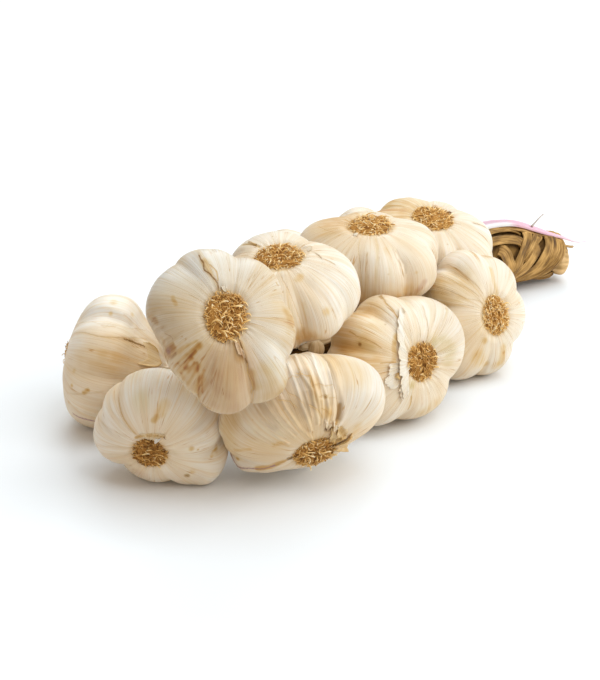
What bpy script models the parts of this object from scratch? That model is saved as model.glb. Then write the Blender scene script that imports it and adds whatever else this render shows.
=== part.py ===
"""Garlic braid: whole bulbs laid in round a plait of their own dried stems, lying on its side.

Units are metres, +Z up. The braid runs along +X, from its free end, where the root discs face
outwards, to the tip of the dried stems. It lies on the plane z = 0, and the middle of its
bounding box is over the origin. Run it with blender --background --python part.py, or from
Blender's text editor.
"""

import math
import random
from dataclasses import dataclass

import bmesh
import bpy
from mathutils import Matrix, Vector

MM = 0.001
GAP = 0.35 * MM  # air between pieces that touch

# Driving dimensions of a bulb, as shares of its radius unless they say otherwise.
ROOT_SIDE_HEIGHT = 0.66  # widest place down to the root end
SHOULDER_HEIGHT = 0.92  # widest place up to where the neck starts
SHOULDER_FULLNESS = 1.15  # more keeps the shoulder wide for longer
ROOT_SQUARENESS = 0.80  # 1 is a round bottom, less is a flatter one
PLATE_DEPTH = 0.09  # the root plate lies this far inside the dimple
DIMPLE_WIDTH = 0.17  # from the plate's edge to the dimple's rim
CLOVE_RELIEF = 0.13  # depth of the valleys beside a clove that bulges by 1
CLOVE_ROUNDNESS = 0.80
CLOVES_FULL = (0.2, 0.7)  # ring stations between which the valleys deepen, going out from the roots
CLOVES_AT_NECK = (0.93, 1.2)  # share of the depth lost by the neck, and how soon it goes
MEAN_BULGE = 0.55
NECK_RADIUS = 5.6 * MM
NECK_TIP_RADIUS = 3.2 * MM
NECK_LEAVES_AT = 0.72  # share of the shoulder's height where the neck starts to bend
NECK_ELBOW = 1.0  # least share of it where the bend is sharpest
COLUMNS_PER_CLOVE = 4

# Rings of a bulb's surface beyond its root plate and dimple: 1 is the widest place, 2 the top of
# the shoulder and 3 the cut end of the neck.
RINGS = (0.49, 0.74, 1.0, 1.25, 1.48, 1.72, 2.0, 2.5, 3.0)

TUFT_SHARE = 0.93  # of the root plate's radius
TUFT_HEIGHT = 0.13  # of the bulb's radius
TUFT_STEEPNESS = 1.25  # a half globe's is 1
TUFT_UNEVENNESS = 0.16
TUFT_GRID = (10, 5)

# The plait of dried stems.
STRAND_COUNT = 3
STRAND_RADIUS = 5.0 * MM  # where the plait is fullest
STRAND_SWING = 1.95  # sideways, in strand radii
STRAND_LIFT = 1.60  # up and down
PLAIT_WAVE = 118 * MM  # length of one full plait pattern
STRAND_POINTS = 40
FRONT_FULLNESS = 0.47  # the plait is thinner where few stems have joined it yet
TIP_FULLNESS = 0.66
FULLEST_SHARE = 0.84  # of its length
CORE_STEPS = 160

# The leaf ends wound round the tip of the plait.
COIL_FROM, COIL_TO = 0.80, 0.975  # shares of the plait's length
COIL_PITCH = 10.6 * MM
COIL_HALF_WIDTH = 4.1 * MM
COIL_HALF_THICKNESS = 2.4 * MM
COIL_CLEAR = 1.8 * MM  # round the plait, which has corners where its strands cross
COIL_LEAN = 6.5 * MM  # how far each turn leans towards the tip
COIL_LEANS_TO = 150  # degrees from the far side, over the top
COIL_STEPS_PER_TURN = 14
COIL_SIDES = 6

# The folded end of the stems.
END_LENGTH = 15 * MM
END_CLEAR = 1.7 * MM  # the slanting cut ends of the strands lie in here
END_SPREAD = (1.45, 1.55)  # wider and higher than the tip of the plait
END_BLUNTNESS = 0.8
END_FOLDS = ((2, 0.10, 0.0), (3, 0.05, 1.0))  # (folds on the way round, depth, angle of the first)
END_GRID = (12, 8)

# The thin pink sheath that lies along the top of the wound end.
SHEATH_FROM, SHEATH_TO = 0.72, 1.085
SHEATH_HALF_WIDTH = 3.4 * MM
SHEATH_HALF_THICKNESS = 0.45 * MM
SHEATH_SIDES = (74, 134)  # where it starts and ends: degrees from the far side, over the top
SHEATH_WIDE_BY = 0.33  # share of its length by which it has its full width
SHEATH_TAPER = 0.6
SHEATH_DROOP = 6 * MM  # of its free point
SHEATH_DROOPS_FROM = 0.75
SHEATH_GRID = (8, 20)


@dataclass(frozen=True)
class Bulb:
    """One bulb: where it lies, which way its roots face, and how its cloves make its shape.

    Places are in millimetres and angles in degrees. The angles round the bulb run from its own
    +X towards its own +Y, which is the side that faces most nearly upwards.
    """

    name: str
    middle: tuple
    azimuth: float  # of the way its roots face
    elevation: float
    diameter: float
    plate: float  # radius of its root plate
    valley: float  # angle of the valley where the first clove starts
    cloves: tuple  # (degrees of the way round, bulge) of each clove in turn
    oval: tuple  # (share by which it is wider, angle of its wider way)
    joins_at: float  # x where its neck meets the plait


BULBS = (
    Bulb(
        "front_top", (-152.7, -32.2, 82.7), 229, 37, 63, 10.9, 58,
        ((48, 0.7), (56, 1.0), (54, 0.5), (41, 0.9), (40, 1.05), (51, 0.4), (70, 0.9)),
        (0.07, 70), -104,
    ),
    Bulb(
        "front_low", (-157.0, 2.6, 26.3), 210, -9, 56.5, 8.4, 50,
        ((100, 0.95), (42, 0.6), (63, 1.4), (63, 0.4), (59, 1.3), (33, 0.4)),
        (0.03, 47), -107,
    ),
    Bulb(
        "near_1", (-117.3, -46.0, 32.5), 238, -27, 69, 9.5, 20,
        ((92, 0.9), (78, 0.95), (50, 0.6), (45, 1.0), (48, 1.0), (47, 0.55)),
        (0.08, -11), -92,
    ),
    Bulb(
        "near_2", (-44.0, -45.5, 29.8), 252, 17, 67, 8.6, 108,
        ((105, 1.3), (72, 0.95), (50, 0.95), (50, 0.85), (40, 0.85), (43, 1.0)),
        (0.10, 0), -18,
    ),
    Bulb(
        "near_3", (23.9, -48.0, 29.6), 249, 22, 62, 9.2, 110,
        ((53, 0.65), (67, 0.8), (51, 0.8), (54, 1.0), (45, 0.7), (45, 0.85), (45, 1.0)),
        (0.065, -62), 38,
    ),
    Bulb(
        "far_1", (-129.7, 58.7, 31.2), 122, 13, 63, 9.6, 112,
        ((56, 0.85), (54, 0.85), (58, 0.95), (60, 0.85), (70, 0.85), (62, 0.8)),
        (0.02, -76), -96,
    ),
    Bulb(
        "far_2", (-65.9, 53.9, 28.6), 118, 12, 60, 9.2, 20,
        ((66, 0.9), (52, 0.7), (70, 1.0), (55, 0.8), (62, 0.95), (55, 0.75)),
        (0.03, 20), -35,
    ),
    Bulb(
        "far_3", (-4.2, 52.1, 28.5), 112, 16, 60, 9.4, 10,
        ((50, 0.8), (58, 0.95), (44, 0.6), (60, 1.0), (46, 0.85), (52, 0.7), (50, 0.9)),
        (0.02, 60), 24,
    ),
    Bulb(
        "far_4", (55.5, 47.9, 26.5), 100, 18, 56.5, 8.8, 35,
        ((72, 0.95), (50, 0.75), (66, 0.9), (48, 0.65), (70, 1.0), (54, 0.8)),
        (0.03, 100), 78,
    ),
    Bulb(
        "top_1", (-89.8, -17.2, 72.2), 192, 74, 64.5, 11.6, 8,
        ((92, 1.35), (88, 1.0), (42, 0.7), (50, 0.85), (45, 0.85), (43, 0.85)),
        (0.07, 12), -62,
    ),
    Bulb(
        "top_2", (-11.0, -9.0, 60.1), 220, 81, 65, 11.4, 57,
        ((76, 0.75), (54, 1.15), (50, 0.85), (51, 0.75), (62, 0.85), (67, 1.15)),
        (0.08, 10), 8,
    ),
    Bulb(
        "top_3", (52.6, -4.4, 47.1), 234, 73, 61.5, 10.2, 48,
        ((54, 1.1), (50, 0.7), (53, 0.95), (52, 0.8), (48, 0.85), (58, 0.85), (45, 1.0)),
        (0.16, 36), 84,
    ),
)

# Middle line of the plait, in millimetres, from inside the bunch to the tip of the stems.
CORE_ROUTE = (
    (-112, 4, 42),
    (-75, 4, 32),
    (-30, 3, 22),
    (10, 2, 14),
    (45, 1, 9.8),
    (78, 2, 13.4),
    (104, 1, 18.7),
    (126, -6, 19.8),
    (141, -14, 17.2),
    (152, -21, 15),
)

# Base colour and roughness of each material.
FINISHES = {
    "bulb_skin": ((0.83, 0.72, 0.56), 0.55),
    "roots": ((0.42, 0.26, 0.11), 0.9),
    "dry_stem": ((0.42, 0.27, 0.12), 0.8),
    "pink_sheath": ((0.80, 0.52, 0.54), 0.6),
}


def clear_scene():
    """Removes every object, so that the model stands alone."""
    for obj in list(bpy.data.objects):
        bpy.data.objects.remove(obj)


def material(name):
    """A plain Principled material in the finish's own colour."""
    found = bpy.data.materials.get(name)
    if found:
        return found
    colour, roughness = FINISHES[name]
    made = bpy.data.materials.new(name)
    made.use_nodes = True
    shader = made.node_tree.nodes["Principled BSDF"]
    shader.inputs["Base Color"].default_value = (*colour, 1)
    shader.inputs["Roughness"].default_value = roughness
    shader.inputs["Metallic"].default_value = 0
    return made


def globe(name, columns, rows, place):
    """A globe's mesh whose points are moved to place(row, column); rows 0 and `rows` are its poles."""
    shape = bmesh.new()
    bmesh.ops.create_uvsphere(shape, u_segments=columns, v_segments=rows, radius=1)
    for vertex in shape.verts:
        polar = math.acos(max(-1.0, min(1.0, vertex.co.z)))
        row = rows - round(polar / math.pi * rows)
        turn = math.atan2(vertex.co.y, vertex.co.x) / (2 * math.pi)
        vertex.co = place(row, round(turn * columns) % columns)
    bmesh.ops.recalc_face_normals(shape, faces=shape.faces)
    mesh = bpy.data.meshes.new(name)
    shape.to_mesh(mesh)
    shape.free()
    mesh.shade_smooth()
    return mesh


def ramp(value, low, high):
    """0 below low and 1 above high, with a smooth rise between them."""
    share = min(max((value - low) / (high - low), 0.0), 1.0)
    return share * share * (3 - 2 * share)


def smooth_route(points, steps):
    """Points along a Catmull-Rom curve through the route's own points, in metres."""
    knots = [Vector(p) * MM for p in points]
    knots = [2 * knots[0] - knots[1], *knots, 2 * knots[-1] - knots[-2]]
    spans = len(knots) - 3
    line = []
    for i in range(steps + 1):
        at = i / steps * spans
        k = min(int(at), spans - 1)
        t = at - k
        a, b, c, d = knots[k : k + 4]
        bend = (2 * a - 5 * b + 4 * c - d) * t**2 + (3 * b - a - 3 * c + d) * t**3
        line.append((2 * b + (c - a) * t + bend) / 2)
    return line


class Core:
    """The plait's middle line, and how thick the plait is along it."""

    def __init__(self):
        self.line = smooth_route(CORE_ROUTE, CORE_STEPS)
        self.along = [0.0]
        for a, b in zip(self.line, self.line[1:]):
            self.along.append(self.along[-1] + (b - a).length)
        self.length = self.along[-1]

    def place(self, distance):
        """(point, forward, sideways, up) at a distance along the line, which runs on past its ends."""
        k = max(i for i in range(CORE_STEPS) if i == 0 or self.along[i] <= distance)
        a, b = self.line[k], self.line[k + 1]
        share = (distance - self.along[k]) / (b - a).length
        forward = (b - a).normalized()
        if 0 < k < CORE_STEPS - 1:
            before, after = a - self.line[k - 1], self.line[k + 2] - b
            forward = (before.lerp(b - a, 0.5 + share / 2) + (b - a).lerp(after, share / 2)).normalized()
        sideways = Vector((0, 0, 1)).cross(forward).normalized()
        return a.lerp(b, share), forward, sideways, forward.cross(sideways)

    def fullness(self, distance):
        """How thick the plait is there, as a share of its fullest."""
        share = min(max(distance / self.length, 0.0), 1.0)
        if share < FULLEST_SHARE:
            rise = 1 - math.cos(share / FULLEST_SHARE * math.pi / 2)
            return FRONT_FULLNESS + (1 - FRONT_FULLNESS) * rise
        fall = (share - FULLEST_SHARE) / (1 - FULLEST_SHARE)
        return 1 - (1 - TIP_FULLNESS) * math.sin(fall * math.pi / 2) ** 2

    def distance_at_x(self, x):
        """How far along the line it passes x."""
        k = min(range(CORE_STEPS + 1), key=lambda i: abs(self.line[i].x - x))
        return self.along[k]

    def half_size(self, distance):
        """(half width, half height) of the plait there."""
        radius = STRAND_RADIUS * self.fullness(distance)
        return (STRAND_SWING + 1) * radius, (STRAND_LIFT + 1) * radius

    def outside(self, distance, angle, clear):
        """A point `clear` outside the plait, at an angle from its far side over its top."""
        point, _, sideways, up = self.place(distance)
        width, height = self.half_size(distance)
        reach = sideways * (width + clear) * math.cos(angle) + up * (height + clear) * math.sin(angle)
        return point + reach

    def facing(self, distance, target):
        """The angle round the plait at which it faces a target."""
        point, _, sideways, up = self.place(distance)
        aim = target - point
        return math.atan2(aim.dot(up), aim.dot(sideways))


class Girth:
    """How a bulb's outline changes on the way round it: its cloves and its oval."""

    def __init__(self, bulb):
        self.widths = [math.radians(width) for width, _ in bulb.cloves]
        self.bulges = [bulge for _, bulge in bulb.cloves]
        self.valley = math.radians(bulb.valley)
        self.oval, self.wide = bulb.oval[0], math.radians(bulb.oval[1])

    def column(self, index):
        """(angle, bulge above the valleys) of a column of the mesh."""
        clove, step = divmod(index, COLUMNS_PER_CLOVE)
        share = step / COLUMNS_PER_CLOVE
        angle = self.valley + sum(self.widths[:clove]) + share * self.widths[clove]
        return angle, self.bulges[clove] * math.sin(math.pi * share) ** CLOVE_ROUNDNESS

    def swell(self, angle, bulge, strength):
        """What the outline's distance from the axis is multiplied by."""
        cloves = 1 + CLOVE_RELIEF * strength * (bulge - MEAN_BULGE)
        return cloves * (1 + strength * self.oval * math.cos(2 * (angle - self.wide)))


def root_station(out, radius):
    """The ring station at which the rounded root end is `out` from the axis."""
    return math.asin((out / radius) ** (1 / ROOT_SQUARENESS)) / (math.pi / 2)


def body_profile(radius, plate, station):
    """(distance from the axis, height) of the bulb's outline at a ring station."""
    if station <= 1:
        turn = station * math.pi / 2
        out = radius * math.sin(turn) ** ROOT_SQUARENESS
        height = -radius * ROOT_SIDE_HEIGHT * math.cos(turn) ** ROOT_SQUARENESS
        return out, height + radius * PLATE_DEPTH * (1 - ramp(out, plate, plate + radius * DIMPLE_WIDTH))
    share = min(station - 1, 1.0)
    slope = math.cos(math.pi / 2 * share**SHOULDER_FULLNESS) ** 2
    out = NECK_RADIUS + (radius - NECK_RADIUS) * slope
    out += (NECK_TIP_RADIUS - NECK_RADIUS) * max(station - 2, 0.0)
    return out, radius * SHOULDER_HEIGHT * share


def clove_strength(station):
    """How strongly the cloves shape a ring: fully at the widest place, hardly at either end."""
    if station <= 1:
        return ramp(station, *CLOVES_FULL)
    lost, sooner = CLOVES_AT_NECK
    return (1 - lost * min(station - 1, 1.0)) ** sooner


def neck_section(start, elbow, end, share):
    """(middle, rotation) of the neck at a share of its length, along a quadratic curve."""
    middle = start * (1 - share) ** 2 + elbow * 2 * share * (1 - share) + end * share**2
    tangent = (elbow - start) * (1 - share) + (end - elbow) * share
    return middle, Vector((0, 0, 1)).rotation_difference(tangent)


def bulb_matrix(bulb):
    """Place and turn of a bulb: its own +Z is the way its neck leaves, its +Y is upwards."""
    azimuth, elevation = math.radians(bulb.azimuth), math.radians(bulb.elevation)
    level = math.cos(elevation)
    roots = Vector((level * math.cos(azimuth), level * math.sin(azimuth), math.sin(elevation)))
    axis = -roots
    upwards = (Vector((0, 0, 1)) - axis * axis.z).normalized()
    turn = Matrix((upwards.cross(axis), upwards, axis)).transposed().to_4x4()
    return Matrix.Translation(Vector(bulb.middle) * MM) @ turn


class BulbShape:
    """The bulb's surface in its own frame: a point for every row and column of its globe."""

    def __init__(self, bulb, matrix, core):
        self.radius = bulb.diameter / 2 * MM
        self.plate = bulb.plate * MM
        self.girth = Girth(bulb)
        self.matrix = matrix
        dimple = self.plate + DIMPLE_WIDTH * self.radius
        self.rings = [root_station(out, self.radius) for out in (self.plate, dimple)]
        self.rings += RINGS
        self.columns = len(bulb.cloves) * COLUMNS_PER_CLOVE
        self.rows = len(self.rings) + 1

        shoulder = self.radius * SHOULDER_HEIGHT
        distance = core.distance_at_x(bulb.joins_at * MM)
        angle = core.facing(distance, matrix.translation)
        self.start = Vector((0, 0, NECK_LEAVES_AT * shoulder))
        self.end = matrix.inverted() @ core.outside(distance, angle, NECK_TIP_RADIUS + GAP)
        self.elbow = Vector((0, 0, max(shoulder * NECK_ELBOW, (self.start.z + self.end.z) / 2)))

    def ring_point(self, station, column):
        """A point of a ring, before the bulb is pressed flat underneath."""
        out, height = body_profile(self.radius, self.plate, station)
        angle, bulge = self.girth.column(column)
        strength = clove_strength(station)
        across = out * self.girth.swell(angle, bulge, strength)
        if station < 1:
            height *= 1 + CLOVE_RELIEF * strength * (bulge - MEAN_BULGE)
        flat = Vector((across * math.cos(angle), across * math.sin(angle), 0))
        bend = (station - 1 - NECK_LEAVES_AT) / (2 - NECK_LEAVES_AT)
        if bend <= 0:
            return flat + Vector((0, 0, height))
        middle, turn = neck_section(self.start, self.elbow, self.end, bend)
        return middle + turn @ flat

    def point(self, row, column):
        """The surface's point, never below the table."""
        if row == 0:
            local = Vector((0, 0, body_profile(self.radius, self.plate, 0)[1]))
        elif row == self.rows:
            local = self.end
        else:
            local = self.ring_point(self.rings[row - 1], column)
        world = self.matrix @ local
        world.z = max(world.z, 0.0)
        return self.matrix.inverted() @ world


def tuft_mesh(bulb):
    """A low uneven mound of trimmed roots on the bulb's root plate."""
    columns, rows = TUFT_GRID
    radius = bulb.diameter / 2 * MM
    base = -radius * (ROOT_SIDE_HEIGHT - PLATE_DEPTH) - GAP
    spread = bulb.plate * MM * TUFT_SHARE
    chance = random.Random(f"roots {bulb.name}")
    lumps = {}

    def place(row, column):
        key = (row, column if 0 < row < rows else 0)
        lump = lumps.setdefault(key, 1 - TUFT_UNEVENNESS * chance.random())
        polar = math.pi * row / rows
        out = min(math.sin(polar) * TUFT_STEEPNESS, 1.0) * spread * lump
        rise = math.sqrt((1 + math.cos(polar)) / 2)
        angle = 2 * math.pi * column / columns
        height = radius * TUFT_HEIGHT * rise * lump
        return Vector((out * math.cos(angle), out * math.sin(angle), base - height))

    return globe(f"roots_{bulb.name}", columns, rows, place)


def strand_curve(core, index):
    """One strand of the plait: it swings from side to side once a wave, and up and down twice."""
    curve = bpy.data.curves.new(f"strand_{index + 1}", "CURVE")
    curve.dimensions = "3D"
    curve.bevel_depth = STRAND_RADIUS
    curve.bevel_resolution = 1
    curve.use_fill_caps = True
    line = curve.splines.new("POLY")
    line.points.add(STRAND_POINTS - 1)
    for i, point in enumerate(line.points):
        distance = core.length * i / (STRAND_POINTS - 1)
        middle, _, sideways, up = core.place(distance)
        phase = 2 * math.pi * (distance / PLAIT_WAVE + index / STRAND_COUNT)
        swing = sideways * STRAND_SWING * math.sin(phase) + up * STRAND_LIFT * math.sin(2 * phase)
        fullness = core.fullness(distance)
        point.co = (*(middle + swing * STRAND_RADIUS * fullness), 1)
        point.radius = fullness
    return curve


def coil_mesh(core):
    """The leaf ends wound round the plait: a flat band in a leaning coil."""
    first, last = core.length * COIL_FROM, core.length * COIL_TO
    turns = (last - first) / COIL_PITCH
    rows = round(turns * COIL_STEPS_PER_TURN)
    lean_to = math.radians(COIL_LEANS_TO)

    def centre(share):
        angle = 2 * math.pi * turns * share
        distance = first + (last - first) * share + COIL_LEAN * math.cos(angle - lean_to)
        return distance, angle

    def place(row, column):
        share = (row - 0.5) / (rows - 1)
        distance, angle = centre(min(max(share, 0.0), 1.0))
        turn = 2 * math.pi * column / COIL_SIDES
        size = 0.0 if row in (0, rows) else 1.0
        along = COIL_HALF_WIDTH * math.sin(turn) * size
        outward = COIL_HALF_THICKNESS * (1 + math.cos(turn) * size) + COIL_CLEAR
        return core.outside(distance, angle, outward) + core.place(distance)[1] * along

    return globe("wound_leaves", COIL_SIDES, rows, place)


def end_mesh(core):
    """The stems' folded end: a blunt knob just past the last turn."""
    columns, rows = END_GRID
    start = core.length + END_CLEAR
    width, height = (half * more for half, more in zip(core.half_size(core.length), END_SPREAD))

    def place(row, column):
        polar = math.pi * row / rows
        point, forward, sideways, up = core.place(start)
        angle = 2 * math.pi * column / columns
        folds = sum(depth * math.cos(count * angle + first) for count, depth, first in END_FOLDS)
        out = math.sin(polar) ** END_BLUNTNESS * (1 + folds)
        ahead = END_LENGTH * (1 - math.cos(polar)) / 2
        spread = sideways * math.cos(angle) * width + up * math.sin(angle) * height
        return point + forward * ahead + spread * out

    return globe("stem_end", columns, rows, place)


def sheath_mesh(core):
    """The pink sheath: a thin strip along the top of the wound end, drawn out to a point."""
    columns, rows = SHEATH_GRID
    first_side, last_side = (math.radians(side) for side in SHEATH_SIDES)
    clear = 2 * COIL_HALF_THICKNESS + COIL_CLEAR + GAP + SHEATH_HALF_THICKNESS

    def place(row, column):
        share = row / rows
        distance = core.length * (SHEATH_FROM + (SHEATH_TO - SHEATH_FROM) * share)
        angle = 2 * math.pi * column / columns
        width = SHEATH_HALF_WIDTH * min(1.0, share / SHEATH_WIDE_BY) * (1 - share) ** SHEATH_TAPER
        point, _, sideways, _ = core.place(distance)
        middle = core.outside(distance, first_side + (last_side - first_side) * share**2, clear)
        outward = (middle - point).normalized()
        past = max(0.0, share - SHEATH_DROOPS_FROM) / (1 - SHEATH_DROOPS_FROM)
        middle -= outward * SHEATH_DROOP * past**2
        across = sideways * math.cos(angle) * width
        return middle + across + outward * math.sin(angle) * SHEATH_HALF_THICKNESS

    return globe("pink_sheath", columns, rows, place)


def centre_over_origin(whole):
    """Moves the whole braid sideways so that the middle of its bounding box is over the origin."""
    graph = bpy.context.evaluated_depsgraph_get()
    low, high = Vector((math.inf,) * 3), Vector((-math.inf,) * 3)
    for obj in whole.children:
        shown = obj.evaluated_get(graph)
        for vertex in shown.to_mesh().vertices:
            point = obj.matrix_world @ vertex.co
            low = Vector(map(min, low, point))
            high = Vector(map(max, high, point))
        shown.to_mesh_clear()
    middle = (low + high) / 2
    whole.location = (-middle.x, -middle.y, -low.z)


def main():
    """Builds the bulbs with their roots, then the plait, the wound leaves, the end and the sheath."""
    clear_scene()
    collection = bpy.data.collections.new("garlic_braid")
    bpy.context.scene.collection.children.link(collection)
    whole = bpy.data.objects.new("garlic_braid", None)
    collection.objects.link(whole)

    def add(data, finish, matrix=None):
        obj = bpy.data.objects.new(data.name, data)
        data.materials.append(material(finish))
        collection.objects.link(obj)
        obj.parent = whole
        if matrix:
            obj.matrix_local = matrix

    core = Core()
    for bulb in BULBS:
        matrix = bulb_matrix(bulb)
        shape = BulbShape(bulb, matrix, core)
        add(globe(f"bulb_{bulb.name}", shape.columns, shape.rows, shape.point), "bulb_skin", matrix)
        add(tuft_mesh(bulb), "roots", matrix)
    for index in range(STRAND_COUNT):
        add(strand_curve(core, index), "dry_stem")
    add(coil_mesh(core), "dry_stem")
    add(end_mesh(core), "dry_stem")
    add(sheath_mesh(core), "pink_sheath")
    centre_over_origin(whole)


main()
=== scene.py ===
"""Looks of the garlic braid: papery bulbs with trimmed roots, laid round a plait of dried stems.

Lengths in this script are millimetres in the coordinates that the bulbs were laid out in. They
become metres in the frame in one place, when a piece's mesh is made. Angles round a bulb run
from its own +X towards its own +Y, which is the side that faces most nearly upwards, and a
station says how far along the bulb a place is: 0 at the roots, 1 at the widest place, 2 at the
top of the shoulder and 3 at the cut end of the neck.
"""

import logging
import math
from dataclasses import dataclass, field
from enum import Enum
from functools import cached_property

import bpy
import numpy as np
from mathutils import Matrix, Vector


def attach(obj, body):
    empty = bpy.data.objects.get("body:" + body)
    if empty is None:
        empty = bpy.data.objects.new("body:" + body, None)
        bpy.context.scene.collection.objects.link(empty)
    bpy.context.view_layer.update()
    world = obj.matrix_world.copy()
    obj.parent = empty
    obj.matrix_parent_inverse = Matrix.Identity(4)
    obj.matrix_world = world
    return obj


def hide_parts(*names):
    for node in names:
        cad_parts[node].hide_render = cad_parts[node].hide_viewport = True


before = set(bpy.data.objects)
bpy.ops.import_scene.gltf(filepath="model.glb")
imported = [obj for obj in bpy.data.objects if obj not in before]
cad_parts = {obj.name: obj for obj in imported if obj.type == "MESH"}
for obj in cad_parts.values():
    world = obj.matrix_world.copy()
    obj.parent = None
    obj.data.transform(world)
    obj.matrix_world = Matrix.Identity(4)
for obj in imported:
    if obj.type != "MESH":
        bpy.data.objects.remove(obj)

Array = np.ndarray
Material, Object = bpy.types.Material, bpy.types.Object
Socket, Node = bpy.types.NodeSocket, bpy.types.Node

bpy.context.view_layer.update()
MM = 0.001
BODY = "root"
TURN = 2 * math.pi
LAID_OUT_TO_FRAME = np.array((5.085, -3.404, 0.001))  # mm, to the middle of the braid's box

log = logging.getLogger("garlic_braid")


# ---------------------------------------------------------------- sums with whole arrays


def ramp(value: Array, low: float, high: float) -> Array:
    """0 below low and 1 above high, with a smooth rise between them."""
    share = np.clip((value - low) / (high - low), 0.0, 1.0)
    return share * share * (3 - 2 * share)


def unit(vectors: Array) -> Array:
    """Vectors of length 1 in the same directions."""
    return vectors / np.maximum(np.linalg.norm(vectors, axis=-1, keepdims=True), 1e-9)


def mix(a: Array, b: Array, share: Array) -> Array:
    """Goes from a to b as share, which has no colour or space axis, goes from 0 to 1."""
    return a + (b - a) * share[..., None]


def turned(phi: Array, middle: float) -> Array:
    """The angle from middle to phi, the short way round, in radians."""
    return (phi - middle + math.pi) % TURN - math.pi


def packed(*parts: Array) -> Array:
    """Arrays and numbers spread over one grid, side by side along a last axis."""
    return np.stack(np.broadcast_arrays(*parts), -1)


def circle(count: int) -> Array:
    """Angles evenly round a whole turn."""
    return np.linspace(0, TURN, count, endpoint=False)


def catmull_rom(knots: Array, steps: int) -> Array:
    """Points along a smooth curve through knots.

    Between two knots b and c, with their neighbours a and d, a point is half of
    2b + (c - a)t + (2a - 5b + 4c - d)t^2 + (3b - a - 3c + d)t^3.

    Args:
        knots: The points that the curve goes through, one a row.
        steps: How many spans the result has.

    Returns:
        steps + 1 points, from the first knot to the last.
    """
    knots = np.asarray(knots, float)
    knots = np.vstack((2 * knots[0] - knots[1], knots, 2 * knots[-1] - knots[-2]))
    at = np.linspace(0, len(knots) - 3, steps + 1)
    k = np.minimum(at.astype(int), len(knots) - 4)
    t = (at - k)[:, None]
    a, b, c, d = (knots[k + n] for n in range(4))
    bend = (2 * a - 5 * b + 4 * c - d) * t**2 + (3 * b - a - 3 * c + d) * t**3
    return (2 * b + (c - a) * t + bend) / 2


class Noise:
    """Smooth noise between 0 and 1: random values on a lattice, blended by smoothstep weights."""

    SIZE = 32

    def __init__(self, seed: int) -> None:
        """Fills the lattice."""
        self.values = np.random.default_rng(seed).random((self.SIZE,) * 3)

    def at(self, x: Array, y: Array, z: Array) -> Array:
        """The noise at places in space.

        Args:
            x: Of each place, with lattice cells 1 apart.
            y: The same.
            z: The same.

        Returns:
            The noise, over the grid that the three share.
        """
        points = packed(x, y, z)
        cell = np.floor(points).astype(int)
        share = points - cell
        share = share * share * (3 - 2 * share)
        total = np.zeros(points.shape[:-1])
        for corner in np.ndindex(2, 2, 2):
            weight = np.prod(np.where(corner, share, 1 - share), axis=-1)
            i, j, k = ((cell[..., n] + corner[n]) % self.SIZE for n in range(3))
            total += weight * self.values[i, j, k]
        return total

    def round_and_along(self, phi: Array, along: Array, cells: float, stretch: float) -> Array:
        """Noise that closes on itself round a circle.

        Args:
            phi: Angles in radians.
            along: Distance along the axis.
            cells: How many lattice cells the circle has.
            stretch: Lattice cells to a unit of distance along.

        Returns:
            The noise, of the same shape as phi.
        """
        radius = cells / TURN
        return self.at(radius * np.cos(phi), radius * np.sin(phi), along * stretch)


# ---------------------------------------------------------------- meshes


def grid_faces(rows: int, columns: int, wraps: bool) -> list:
    """Quads between the points of a grid, whose points are numbered row by row.

    Args:
        rows: Of points.
        columns: Of points.
        wraps: Whether the last column joins the first.

    Returns:
        Four point numbers a quad.
    """
    i, j = np.meshgrid(np.arange(rows - 1), np.arange(columns - (not wraps)), indexing="ij")
    after = (j + 1) % columns
    corners = (i * columns + j, i * columns + after, (i + 1) * columns + after, (i + 1) * columns + j)
    return np.stack(corners, -1).reshape(-1, 4).tolist()


def closed_faces(rows: int, columns: int) -> list:
    """Quads of a tube of rings, and the two fans that close it on a point at each end.

    Args:
        rows: Rings of the tube.
        columns: Points of a ring.

    Returns:
        The faces, for points as closed_points puts them.
    """
    ring = np.arange(columns)
    after = (ring + 1) % columns
    pole, last_ring = np.full(columns, rows * columns), (rows - 1) * columns
    start = np.stack((pole, after, ring), -1)
    end = np.stack((pole + 1, ring + last_ring, after + last_ring), -1)
    return grid_faces(rows, columns, True) + start.tolist() + end.tolist()


def closed_points(rings: Array) -> Array:
    """The rings' points, row by row, and then the middles of the first and of the last ring."""
    ends = np.stack((rings[0].mean(0), rings[-1].mean(0)))
    return np.vstack((rings.reshape(-1, rings.shape[-1]), ends))


@dataclass
class Piece:
    """A mesh on its way into the scene: points in millimetres, faces, and a value for each point."""

    name: str
    points: Array
    faces: list
    layers: dict[str, Array] = field(default_factory=dict)

    KINDS = {1: ("FLOAT", "value"), 3: ("FLOAT_VECTOR", "vector"), 4: ("FLOAT_COLOR", "color")}

    def build(self, finish: Material, slot: str, *nodes: str) -> Object:
        """Makes the object, at the origin and unturned, and hides the CAD parts that it stands for.

        Args:
            finish: Its material.
            slot: Not used.
            nodes: The CAD nodes that it stands for.

        Returns:
            The object, riding on the braid's one body.
        """
        mesh = bpy.data.meshes.new(self.name)
        mesh.from_pydata((self.points + LAID_OUT_TO_FRAME) * MM, [], self.faces)
        for name, values in self.layers.items():
            kind, key = self.KINDS[1 if values.ndim == 1 else values.shape[1]]
            layer = mesh.attributes.new(name, kind, "POINT")
            layer.data.foreach_set(key, values.astype(np.float32).ravel())
        mesh.materials.append(finish)
        mesh.shade_smooth()
        mesh.validate()
        piece = bpy.data.objects.new(self.name, mesh)
        bpy.context.scene.collection.objects.link(piece)
        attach(piece, BODY)
        if nodes:
            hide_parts(*nodes)
        log.info("%s: %d faces", self.name, len(self.faces))
        return piece


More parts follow.
